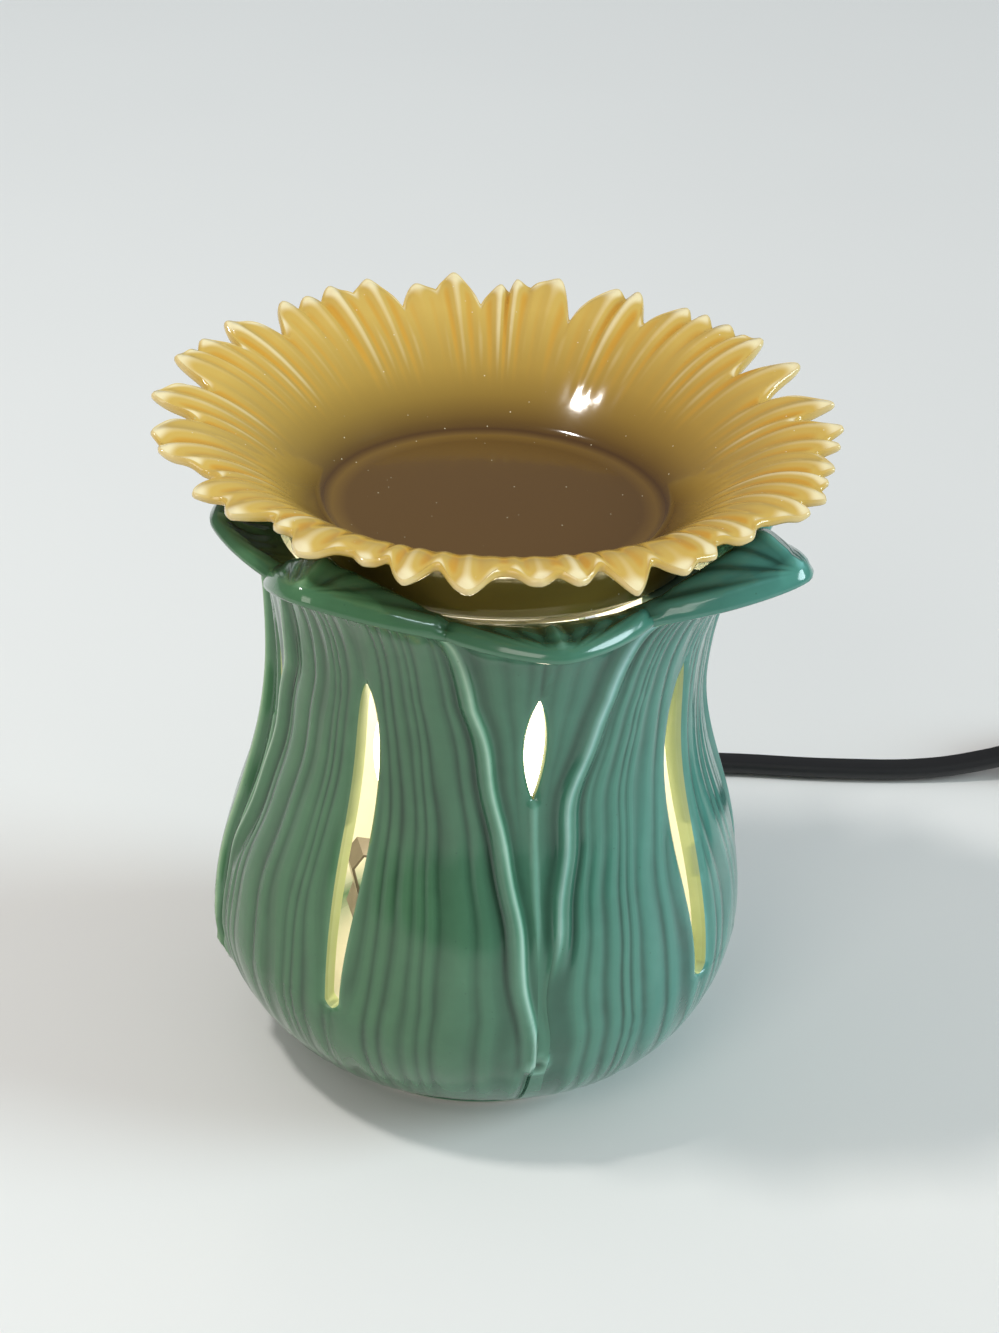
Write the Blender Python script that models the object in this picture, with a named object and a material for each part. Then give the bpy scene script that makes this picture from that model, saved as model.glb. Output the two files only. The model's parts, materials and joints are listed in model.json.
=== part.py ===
# Plug-in wax warmer: a ceramic body of standing leaves, a petal dish that lifts off it,
# a screw-in lamp in a clip-in holder below the dish, and a flat lead with a switch and a plug.
# Metres, +Z up. The origin is the centre of the foot on the table, and the front is at -Y.

import bmesh
import bpy
from math import atan2, ceil, cos, hypot, pi, radians, sin, tau
from mathutils import Vector

# Clearances
GAP = 0.0003                    # between pieces that touch
RUN_GAP = 0.0004                # round a piece that turns or screws in

# Body: foot, belly, neck and wall
FOOT_R = 0.0364
FOOT_H = 0.0045
FOOT_RING = 0.0054              # width of the ring that stands on the table
RECESS_H = 0.0080               # hollow under the floor
FLOOR_T = 0.0045
FLOOR_EDGE = 0.0066             # wall at the edge of the floor, measured level
WALL = 0.0045
BELLY_R = 0.0605
BELLY_Z = 0.0360
NECK_R = 0.0487
SEAT_Z = 0.1297                 # seat of the dish above the table
NECK_DROP = 0.0340              # neck below the dish's seat
LIP_DROP = 0.0180               # start of the flared lip below the seat
LIP_FLARE = 0.0013              # growth of the radius from the neck to the start of the lip

# Body: leaves, as reach from the neck's radius and rise from the seat's height
QUARTERS = 4
LEAF_EDGES = (                  # tips of the eight leaves, an inner one in front and then by turns
    (0.0162, 0.0004), (0.0271, 0.0092), (0.0149, 0.0020), (0.0259, 0.0120),
    (0.0161, 0.0010), (0.0254, 0.0120), (0.0125, 0.0036), (0.0258, 0.0118))
LEAF_BENDS = ((0.0058, -0.0012), (0.0120, 0.0122))      # an inner and an outer leaf's underside
LEAF_CRESTS = ((0.0061, 0.0034), (0.0153, 0.0176))
NOTCH_EDGE = (0.0076, 0.0006)
NOTCH_BEND = (0.0050, -0.0009)
NOTCH_CREST = (0.0041, 0.0040)
LIP_EDGE = 0.0030               # thickness of a leaf at its edge
LIP_SWELL = 0.0008              # curl of the lip between its edge and its crest
RIDGE_H = 0.0010                # rim of an outer leaf
LEAF_RECESS = 0.0016            # inner leaf below the outer ones
SPLIT_TOP = radians(22.5)       # half width of an inner leaf at the lip
SPLIT_LOW = radians(2.8)        # the same where the two rims meet
SPLIT_Z = 0.0500
RIDGE_END_Z = 0.0240
RIDGE_FADE = 0.0090
SLIT_W = 0.0068
SLIT_Z = 0.0350
WINDOW_W = 0.0052
WINDOW_H = 0.0240

# Seat of the dish: four lugs inside the neck
SEAT_INSET = 0.0012             # lug edge inside the neck's bore
LUG_T = 0.0042
LUG_ROOT = 0.0100
SEAT_OVERLAP = 0.0032           # dish bottom beyond the lug edge
SEAT_CLEAR = 0.0008
MOUTH_CLEAR = 0.0032            # mouth of the body round the cup
MOUTH_RISE = 0.0013

# Dish
DISH_FLOOR_T = 0.0050
DISH_COVE = 0.0084              # floor edge inside the cup
DISH_H = 0.0209                 # rim above the floor
PETAL_REACH = 0.0290            # longest petal beyond the cup
PETAL_T = 0.0030
PETAL_RIB = 0.0006
PETAL_SWAY = 0.0025             # tips bend down at the front and up at the rear
DISH_RING_W = 0.0036
DISH_RING_H = 0.0030
# Petal tips: degrees round from the front, and how far each falls short of the longest
PETALS = (
    (-28, 0.002), (-17, 0.001), (-6, 0.006), (2, 0.006), (10, 0.000), (22, 0.003), (35, 0.005),
    (46, 0.000), (55, 0.001), (64, 0.003), (71, 0.003), (77, 0.000), (88, 0.000), (103, 0.000),
    (114, 0.001), (121, 0.002), (127, 0.002), (134, 0.001), (143, 0.000), (149, 0.002),
    (158, 0.000), (165, 0.003), (176, 0.001), (183, 0.004), (191, 0.000), (200, 0.002),
    (210, 0.001), (223, 0.000), (239, 0.000), (254, 0.000), (270, 0.000), (289, 0.001),
    (299, 0.003), (313, 0.002), (321, 0.005),
)
VALLEY_SHARE = 0.00055          # depth of a valley for each degree between its petals
VALLEY_MIN = 0.0020
PETAL_TIP = radians(1.0)        # half width of a petal's blunt tip
PETAL_FOOT = radians(4.6)       # half width of a petal where it parts from its neighbours
VALLEY_FLAT = radians(0.4)      # least half width of a valley

# Lamp holder
CAP_CLEAR = 0.0008              # holder above the table
CAP_BASE = 0.0016
HOLDER_R = 0.0190
HOLDER_H = 0.0380
HOLE_CLEAR = 0.0004
FLANGE_W = 0.0040
WIRE_ROOM_R = 0.0125
BLOCK_H = 0.0060
SHELL_T = 0.0006
SHELL_H = 0.0280
LEAF_SPRING_H = 0.0030
LEAF_SPRING_W = 0.0050
LEAF_SPRING_T = 0.0005
TERMINAL_R = 0.0016
TERMINAL_HEAD_R = 0.0028
TERMINAL_OFF = 0.0080
TERMINAL_DEPTH = 0.0035
COLLAR_H = 0.0060
COLLAR_T = 0.0008
COLLAR_DROP = 0.0022            # collar below the holder's rim
CLIP_T = 0.0007
CLIP_W = 0.0080
CLIP_BOW = 0.0096               # widest place of a clip leg beyond the collar
CLIP_RISE = 0.0055
CLIP_FOOT = 0.0045

# Lamp
LAMP_BASE_R = 0.0131
LAMP_BASE_H = 0.0250
LAMP_NECK = 0.0069              # from the holder's rim to where the globe starts
GLOBE_START = radians(52)       # below the globe's middle
GLOBE_R = 0.0250
GLASS_T = 0.0008
GLOBE_ROWS = 8
BASE_T = 0.0005
NECK_IN = 0.0040                # glass neck inside its base
TIP_R = 0.0048
TIP_H = 0.0020
INSULATOR_H = 0.0030
THREAD_PITCH = 0.003629
THREAD_TURNS = 5
THREAD_DEPTH = 0.0005
STEM_H = 0.0180
STEM_R = 0.0024
WIRE_R = 0.0005
WIRE_H = 0.0150
WIRE_SPREAD = 0.0080

# Lead: flat twin cord
CORD_W = 0.0072
CORD_T = 0.0037
BUSH_T = 0.0012
BUSH_TAIL = 0.0220
BUSH_END_T = 0.0008
CORD_START_Y = 0.0085           # cord end in the holder
COIL_R = 0.0430
COIL_PITCH = 0.0047
COIL_LAYER = 0.0079
COIL_LIFT = 0.0013              # coil above the table, on its tie
COIL_TURNS = 4.25
COIL_STEPS = 24                 # points in each loop
TIE_T = 0.0008
TIE_W = 0.0080
TIE_ANGLE = radians(205)
TAIL_L = 0.0700
RUN_L = 0.0450

# Switch on the lead
SWITCH_X = 0.2070
SWITCH_Y = 0.0880
SWITCH_L = 0.0580
SWITCH_W = 0.0240
SWITCH_H = 0.0130
SWITCH_WALL = 0.0018
SWITCH_NOSE = 0.0110
WHEEL_R = 0.0090
WHEEL_T = 0.0054
WHEEL_PROUD = 0.0025
AXLE_R = 0.0016
SCREW_R = 0.0013
SCREW_HEAD_R = 0.0024
SCREW_HEAD_H = 0.0014
CONTACT_T = 0.0006
CONTACT_W = 0.0060

# Plug
PLUG_L = 0.0360
PLUG_W = 0.0240
PLUG_H = 0.0140
BLADE_L = 0.0170
BLADE_W = 0.00635
BLADE_T = 0.0015
BLADE_SPACING = 0.0127
BLADE_ROOT = 0.0060
CORD_SOCKET = 0.0050            # cord inside the plug and the switch

# Heights and radii that follow from the sizes above
FLOOR_TOP = RECESS_H + FLOOR_T
CAP_TOP = RECESS_H - GAP
HOLDER_Z = CAP_TOP + GAP
HOLDER_TOP = HOLDER_Z + HOLDER_H
SHELL_BORE_R = LAMP_BASE_R + RUN_GAP
SHELL_R = SHELL_BORE_R + SHELL_T
HOLDER_BORE_R = SHELL_R + GAP
BLOCK_TOP = HOLDER_Z + BLOCK_H
SHELL_Z = BLOCK_TOP + GAP
TIP_Z = SHELL_Z + LEAF_SPRING_H + GAP
GLOBE_Z = HOLDER_TOP + LAMP_NECK + GLOBE_R * sin(GLOBE_START)
LAMP_TOP = GLOBE_Z + GLOBE_R
NECK_Z = SEAT_Z - NECK_DROP
LIP_Z = SEAT_Z - LIP_DROP
SEAT_R = NECK_R - WALL - SEAT_INSET
DISH_Z = SEAT_Z + GAP
DISH_TOP = DISH_Z + DISH_FLOOR_T
CUP_R = SEAT_R + SEAT_OVERLAP
MOUTH_R = CUP_R + MOUTH_CLEAR
DISH_FLOOR_R = CUP_R - DISH_COVE
PETAL_R = CUP_R + PETAL_REACH
BUSH_W = CORD_W + 2 * (GAP + BUSH_T)
BUSH_H = CORD_T + 2 * (GAP + BUSH_T)
CORD_Z = GAP + BUSH_H / 2       # cord through the bush
TABLE_CORD_Z = GAP + CORD_T / 2
NOTCH_H = BUSH_H + 2 * GAP
HOLDER_HOLE_R = HOLDER_R + HOLE_CLEAR
SWITCH_MID = SWITCH_H / 2 + GAP


def finish(name, bm, mat, smooth_angle=radians(38)):
    """One named object from a bmesh, with its faces pointing out."""
    bmesh.ops.remove_doubles(bm, verts=bm.verts, dist=1e-7)
    bmesh.ops.recalc_face_normals(bm, faces=bm.faces)
    mesh = bpy.data.meshes.new(name)
    bm.to_mesh(mesh)
    bm.free()
    mesh.shade_smooth()
    mesh.set_sharp_from_angle(angle=smooth_angle)
    mesh.materials.append(mat)
    obj = bpy.data.objects.new(name, mesh)
    bpy.context.collection.objects.link(obj)
    return obj


def material(name, colour, roughness, metallic=0.0, transmission=0.0):
    mat = bpy.data.materials.new(name)
    mat.use_nodes = True
    shader = mat.node_tree.nodes["Principled BSDF"]
    shader.inputs["Base Color"].default_value = (*colour, 1.0)
    shader.inputs["Roughness"].default_value = roughness
    shader.inputs["Metallic"].default_value = metallic
    shader.inputs["Transmission Weight"].default_value = transmission
    mat.diffuse_color = (*colour, 1.0)
    return mat


def spun_grid(profile, steps, closed):
    """A turned profile of (radius, height) points, with each vertex's row in a layer."""
    bm = bmesh.new()
    row = bm.verts.layers.int.new("row")
    verts = []
    for index, (radius, height) in enumerate(profile):
        vert = bm.verts.new((radius, 0.0, height))
        vert[row] = index
        verts.append(vert)
    edges = [bm.edges.new(pair) for pair in zip(verts, verts[1:])]
    if closed:
        edges.append(bm.edges.new((verts[-1], verts[0])))
    bmesh.ops.spin(bm, geom=verts + edges, cent=(0, 0, 0), axis=(0, 0, 1), dvec=(0, 0, 0),
                   angle=tau, steps=steps, use_merge=True)
    return bm, row


def turned(name, profile, mat, steps=24, closed=True, centre=(0.0, 0.0)):
    """A turned solid. An open profile starts and ends on the axis."""
    bm, _ = spun_grid(profile, steps, closed)
    bmesh.ops.translate(bm, verts=bm.verts, vec=(*centre, 0.0))
    bmesh.ops.remove_doubles(bm, verts=bm.verts, dist=1e-7)
    return finish(name, bm, mat)


def prism(name, outline, low, high, mat):
    """A level outline of (x, y) points, extruded from one height to another."""
    bm = bmesh.new()
    face = bm.faces.new([bm.verts.new((x, y, low)) for x, y in outline])
    grown = bmesh.ops.extrude_face_region(bm, geom=[face])
    tops = [item for item in grown["geom"] if isinstance(item, bmesh.types.BMVert)]
    bmesh.ops.translate(bm, verts=tops, vec=(0, 0, high - low))
    return finish(name, bm, mat)


def box(name, low, high, mat):
    (x0, y0, z0), (x1, y1, z1) = low, high
    return prism(name, [(x0, y0), (x1, y0), (x1, y1), (x0, y1)], z0, z1, mat)


def loft(name, rings, mat, closed=False):
    """Quads between rings of points. A closed loft joins its last ring to its first."""
    bm = bmesh.new()
    loops = [[bm.verts.new(point) for point in ring] for ring in rings]
    pairs = list(zip(loops, loops[1:]))
    if closed:
        pairs.append((loops[-1], loops[0]))
    count = len(rings[0])
    for first, second in pairs:
        for i in range(count):
            j = (i + 1) % count
            bm.faces.new((first[i], first[j], second[j], second[i]))
    if not closed:
        bm.faces.new(loops[0])
        bm.faces.new(loops[-1])
    return finish(name, bm, mat)


def cut(target, cutter):
    """Subtract a guide shape, which stays hidden, from a piece."""
    cutter.hide_render = True
    cutter.display_type = "WIRE"
    modifier = target.modifiers.new("cut", "BOOLEAN")
    modifier.operation = "DIFFERENCE"
    modifier.solver = "EXACT"
    modifier.object = cutter


def strip(name, path, width, thickness, mat):
    """A bent flat strip: a path of (x, z) points swept along Y and made solid."""
    bm = bmesh.new()
    rows = [[bm.verts.new((x, side * width / 2, z)) for x, z in path] for side in (-1, 1)]
    for i in range(len(path) - 1):
        bm.faces.new((rows[0][i], rows[0][i + 1], rows[1][i + 1], rows[1][i]))
    obj = finish(name, bm, mat)
    solid = obj.modifiers.new("thickness", "SOLIDIFY")
    solid.thickness = thickness
    solid.offset = 0.0
    return obj


def rounded_ring(width, height, corner, per_corner=3):
    """A rounded rectangle round the origin, as (across, up) points."""
    corner = min(corner, 0.49 * min(width, height))
    points = []
    for quarter, (sx, sy) in enumerate(((1, 1), (-1, 1), (-1, -1), (1, -1))):
        cx, cy = sx * (width / 2 - corner), sy * (height / 2 - corner)
        for k in range(per_corner):
            angle = (quarter + k / (per_corner - 1)) * pi / 2
            points.append((cx + corner * cos(angle), cy + corner * sin(angle)))
    return points


# Ceramic body

# Columns of each quarter, from the middle of one inner leaf to the next. A number is a share
# of the inner leaf's half width, or of the outer leaf's, and the two slits keep their own.
INNER_COLUMNS = ("window", 0.5, "rim")
OUTER_COLUMNS = (-0.72, -0.42, "slit", "slit", 0.42, 0.72)
QUARTER_COLUMNS = 2 * len(INNER_COLUMNS) + len(OUTER_COLUMNS)
BODY_COLUMNS = QUARTERS * QUARTER_COLUMNS
QUARTER = tau / QUARTERS
TIP_SHARE = 0.10                # half width of the blunt tip of a leaf
SLIT_END = 0.0007               # half width at the ends of a slit

WINDOW_Z = LIP_Z - WINDOW_H
WINDOW_HEIGHTS = [WINDOW_Z + WINDOW_H * k / 4 for k in range(5)]
SLIT_HEIGHTS = [SLIT_Z + (WINDOW_Z - SLIT_Z) * k for k in (0.0, 0.08, 0.28, 0.52, 0.78)] + WINDOW_HEIGHTS
LOW_HEIGHTS = [FOOT_H + (SLIT_Z - FOOT_H) * k for k in (0.0, 0.1, 0.3, 0.64)]
LIP_SHARES = (0.3, 0.55, 0.8, 1.0)


def wall_radius(z):
    """Outer radius of the body below the lip."""
    if z < BELLY_Z:
        share = max(0.0, (z - FOOT_H) / (BELLY_Z - FOOT_H))
        return FOOT_R + (BELLY_R - FOOT_R) * (1 - (1 - share) ** 1.8) ** (1 / 1.8)
    if z < NECK_Z:
        share = (z - BELLY_Z) / (NECK_Z - BELLY_Z)
        return NECK_R + (BELLY_R - NECK_R) * (1 + cos(pi * share)) / 2
    return NECK_R + LIP_FLARE * ((z - NECK_Z) / (LIP_Z - NECK_Z)) ** 2


def leaf_split(z):
    """Half angle of an inner leaf, between the rims of its two neighbours."""
    share = min(1.0, max(0.0, (z - SPLIT_Z) / (SEAT_Z - SPLIT_Z)))
    return SPLIT_LOW + (SPLIT_TOP - SPLIT_LOW) * share ** 1.6


def slit_half(z):
    """Half width of a long slit: round below and narrowing to a point above."""
    share = (z - SLIT_Z) / (LIP_Z - SLIT_Z)
    if not 0 <= share <= 1:
        return 0.0
    return max(SLIT_END, SLIT_W / 2 * min(1.0, (share / 0.06) ** 0.5) * (1 - share ** 4) ** 0.8)


def window_half(z):
    """Half width of the short window in an inner leaf."""
    share = (z - WINDOW_Z) / WINDOW_H
    if not 0 <= share <= 1:
        return 0.0
    return max(SLIT_END, WINDOW_W / 2 * max(0.0, sin(pi * share)) ** 0.7)


def column_place(column, z):
    """Azimuth of a column, and which leaf it is on: (angle, leaf, share of its half width)."""
    quarter, place = divmod(column, QUARTER_COLUMNS)
    split = leaf_split(z)
    inner = len(INNER_COLUMNS)
    if place < inner or place >= QUARTER_COLUMNS - inner:
        side = 1 if place < inner else -1
        start = quarter * QUARTER if side > 0 else (quarter + 1) * QUARTER
        kind = INNER_COLUMNS[place if side > 0 else QUARTER_COLUMNS - 1 - place]
        if kind == "window":
            angle = min(max(window_half(z) / wall_radius(min(z, LIP_Z)), TIP_SHARE * split), 0.45 * split)
            return start + side * angle, "inner", angle / split
        share = 1.0 if kind == "rim" else kind
        return start + side * share * split, "rim" if kind == "rim" else "inner", share
    half = QUARTER / 2 - split
    middle = quarter * QUARTER + QUARTER / 2
    kind = OUTER_COLUMNS[place - inner]
    if kind == "slit":
        side = -1 if place < QUARTER_COLUMNS / 2 else 1
        angle = slit_half(z) / wall_radius(min(z, LIP_Z)) or TIP_SHARE * half
        return middle + side * angle, "outer", angle / half
    return middle + kind * half, "outer", abs(kind)


def relief(leaf, z):
    """Height of the surface over the turned wall: rims stand up, inner leaves lie back."""
    fade = min(1.0, max(0.0, (z - RIDGE_END_Z) / RIDGE_FADE))
    return fade * {"rim": RIDGE_H, "inner": -LEAF_RECESS, "outer": 0.0}[leaf]


def wall_point(column, z, depth=0.0):
    """A point of the wall, with its depth measured square to the turned profile."""
    angle, leaf, _ = column_place(column, z)
    step = 0.0005
    slope = (wall_radius(z + step) - wall_radius(z - step)) / (2 * step)
    norm = hypot(1.0, slope)
    raised = relief(leaf, z) if depth == 0 else 0.0
    return angle, wall_radius(z) + raised - depth / norm, z + depth * slope / norm


def lip_form(forms, notch, place):
    """Radius and height of the lip, between the notch beside a leaf and the leaf's tip."""
    angle, leaf, across = place
    turn = 2 * int(angle // QUARTER) + 1 if leaf == "outer" else 2 * round(angle / QUARTER)
    tip = forms[turn % len(forms)]
    bump = 1 - across ** 1.15
    reach, rise = (low + bump * (high - low) for low, high in zip(notch, tip))
    return NECK_R + reach, SEAT_Z + rise


def lip_point(column, share):
    """A point of the lip's outside, from the top of the wall to the leaf's edge."""
    place = column_place(column, LIP_Z + share * LIP_DROP)
    start = (wall_radius(LIP_Z), LIP_Z)
    slope = 2 * LIP_FLARE / (LIP_Z - NECK_Z)
    pull = 0.6 * LIP_DROP
    rise = (start[0] + slope * pull, start[1] + pull)
    bend, edge = lip_form(LEAF_BENDS, NOTCH_BEND, place), lip_form(LEAF_EDGES, NOTCH_EDGE, place)
    rest = 1 - share
    weights = (rest ** 3, 3 * rest ** 2 * share, 3 * rest * share ** 2, share ** 3)
    radius, height = (sum(w * p for w, p in zip(weights, line)) for line in zip(start, rise, bend, edge))
    return place[0], radius + relief(place[1], LIP_Z) * rest, height


def lip_top_point(column, spot):
    """A point of the lip's upper side, from the leaf's edge over its crest to the mouth."""
    place = column_place(column, SEAT_Z)
    edge_r, edge_z = lip_form(LEAF_EDGES, NOTCH_EDGE, place)
    edge = (edge_r + 0.2 * LIP_EDGE, edge_z + LIP_EDGE)
    crest = lip_form(LEAF_CRESTS, NOTCH_CREST, place)
    mouth = (MOUTH_R, SEAT_Z + MOUTH_RISE)
    brow = ((edge[0] + crest[0]) / 2, (edge[1] + crest[1]) / 2 + LIP_SWELL)
    slope = ((mouth[0] + crest[0]) / 2, (mouth[1] + crest[1]) / 2)
    return (place[0], *dict(edge=edge, brow=brow, crest=crest, slope=slope, mouth=mouth)[spot])


def lug_point(column, corner):
    """A point of the seat: on a lug behind an outer leaf's middle, or flush with the bore elsewhere."""
    angle, leaf, across = column_place(column, SEAT_Z)
    bore_r, foot_z = wall_radius(LIP_Z) - WALL, SEAT_Z - LUG_T - LUG_ROOT
    if leaf == "outer" and across <= 0.5:
        lug = dict(root=(MOUTH_R, SEAT_Z), edge=(SEAT_R, SEAT_Z), under=(SEAT_R, SEAT_Z - LUG_T),
                   foot=(bore_r, foot_z))
        return (angle, *lug[corner])
    share = dict(root=0.15, edge=0.4, under=0.7, foot=1.0)[corner]
    return angle, MOUTH_R + share * (bore_r - MOUTH_R), SEAT_Z + share * (foot_z - SEAT_Z)


def body_rows():
    """Rows of the body's section, from the foot up the outside, over the lip and down the inside."""
    heights = LOW_HEIGHTS + SLIT_HEIGHTS
    rows = [lambda c, z=z: wall_point(c, z) for z in heights]
    rows += [lambda c, t=t: lip_point(c, t) for t in LIP_SHARES]
    rows += [lambda c, k=k: lip_top_point(c, k) for k in ("edge", "brow", "crest", "slope", "mouth")]
    rows += [lambda c, k=k: lug_point(c, k) for k in ("root", "edge", "under", "foot")]
    inside = [z for z in reversed(heights) if z > LOW_HEIGHTS[2]]
    floor_r = wall_radius(FLOOR_TOP) - FLOOR_EDGE
    rings = [(floor_r, FLOOR_TOP), (HOLDER_HOLE_R, FLOOR_TOP), (HOLDER_HOLE_R, RECESS_H),
             (FOOT_R - FOOT_RING, RECESS_H), (FOOT_R - FOOT_RING, 0.0), (FOOT_R, 0.0)]
    first_in = len(rows)
    rows += [lambda c, z=z: wall_point(c, z, WALL) for z in inside]
    rows += [lambda c, r=r, z=z: (column_place(c, 0.0)[0], r, z) for r, z in rings]
    return rows, heights, inside, first_in


def ceramic_body(mat):
    rows, heights, inside, first_in = body_rows()
    bm, row = spun_grid([(1.0 + 0.01 * k, 0.01 * k) for k in range(len(rows))], BODY_COLUMNS, True)
    place = {}
    for vert in bm.verts:
        column = round(atan2(vert.co.y, vert.co.x) / tau * BODY_COLUMNS) % BODY_COLUMNS
        place[column, vert[row]] = vert
    for (column, index), vert in place.items():
        angle, radius, height = rows[index](column)
        vert.co = (radius * sin(angle), -radius * cos(angle), height)
    row_of = {vert: key for key, vert in place.items()}
    slit_sides = len(INNER_COLUMNS) + OUTER_COLUMNS.index("slit")
    for quarter in range(QUARTERS):
        start = quarter * QUARTER_COLUMNS
        for left, levels in ((start + slit_sides, SLIT_HEIGHTS), (start - 1, WINDOW_HEIGHTS)):
            open_slit(bm, row_of, left % BODY_COLUMNS, levels, heights, inside, first_in)
    body = finish("ceramic_body", bm, mat, radians(50))
    half = BUSH_W / 2 + GAP
    notch = box("cord_notch", (-half, FOOT_R - 2 * FOOT_RING, -RECESS_H),
                (half, BELLY_R, NOTCH_H), mat)
    cut(body, notch)
    return body


def open_slit(bm, row_of, left, levels, heights, inside, first_in):
    """Remove the cells between two columns on both sides of the wall and join their edges."""
    columns = (left, (left + 1) % BODY_COLUMNS)
    outer = [heights.index(z) for z in levels]
    inner = [first_in + inside.index(z) for z in levels]
    rims = []
    for span in (outer, inner):
        span = set(span)
        cells = [f for f in bm.faces
                 if all(row_of[v][0] in columns and row_of[v][1] in span for v in f.verts)]
        edges = {e for f in cells for e in f.edges}
        bmesh.ops.delete(bm, geom=cells, context="FACES_ONLY")
        rims.append([e for e in edges if e.is_valid and len(e.link_faces) == 1])
        bmesh.ops.delete(bm, geom=[e for e in edges if e.is_valid and not e.link_faces], context="EDGES")
    bmesh.ops.bridge_loops(bm, edges=rims[0] + rims[1])


# Dish

DISH_SHARES = (0.14, 0.32, 0.52, 0.76, 1.0)
PETAL_START = 0.5               # share of the slope where the petals part
UNDER_SHARES = (0.76, 0.52, 0.34)


def petal_columns():
    """Angle, rim radius and side, up or down, of each petal's blunt tip and of the valley after it."""
    columns = []
    for (turn, short), (next_turn, next_short) in zip(PETALS, PETALS[1:] + PETALS[:1]):
        span = (next_turn - turn) % 360
        tip = PETAL_R - short
        valley = min(tip, PETAL_R - next_short) - VALLEY_MIN - VALLEY_SHARE * span
        middle = radians(turn + span / 2)
        flat = max(VALLEY_FLAT, radians(span / 2) - PETAL_FOOT)
        columns += [(radians(turn) + side * PETAL_TIP, tip, 1) for side in (-1, 1)]
        columns += [(middle + side * flat, valley, -1) for side in (-1, 1)]
    return columns


def slope_point(column, share, under=0.0):
    """A point of the sloping petals, or of their underside, below the top by a set thickness."""
    angle, rim, side = column
    free = max(0.0, (share - PETAL_START) / (1 - PETAL_START))
    radius = DISH_FLOOR_R + share * (PETAL_R - DISH_FLOOR_R) - free * (PETAL_R - rim)
    along = (radius - DISH_FLOOR_R) / (PETAL_R - DISH_FLOOR_R)
    height = DISH_TOP + DISH_H * (1 - (1 - along) ** 2)
    slope = 2 * DISH_H * (1 - along) / (PETAL_R - DISH_FLOOR_R)
    height += side * PETAL_RIB * min(1.0, 2 * share) - PETAL_SWAY * free ** 2 * cos(angle)
    return angle, radius, height - under * hypot(1.0, slope)


def dish(mat):
    columns = petal_columns()
    rings = [(0.0, DISH_TOP), (0.55 * DISH_FLOOR_R, DISH_TOP), (DISH_FLOOR_R, DISH_TOP)]
    rows = [lambda c, r=r, z=z: (c[0], r, z) for r, z in rings]
    rows += [lambda c, t=t: slope_point(c, t) for t in DISH_SHARES]
    rows += [lambda c: slope_point(c, 1.0, PETAL_T)]
    rows += [lambda c, t=t: slope_point(c, t, PETAL_T) for t in UNDER_SHARES]
    ring_r = SEAT_R - SEAT_CLEAR
    edge = 0.3 * DISH_FLOOR_T
    lower = [(CUP_R, DISH_Z + edge), (CUP_R - edge, DISH_Z), (ring_r, DISH_Z),
             (ring_r - GAP, DISH_Z - DISH_RING_H), (ring_r - DISH_RING_W, DISH_Z - DISH_RING_H),
             (ring_r - DISH_RING_W - GAP, DISH_Z), (0.0, DISH_Z)]
    rows += [lambda c, r=r, z=z: (c[0], r, z) for r, z in lower]
    bm, row = spun_grid([(1.0 + 0.01 * k, 0.01 * k) for k in range(len(rows))], len(columns), False)
    for vert in bm.verts:
        column = round(atan2(vert.co.y, vert.co.x) / tau * len(columns)) % len(columns)
        angle, radius, height = rows[vert[row]](columns[column])
        vert.co = (radius * sin(angle), -radius * cos(angle), height)
    return finish("dish", bm, mat, radians(50))


# Lamp holder

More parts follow.
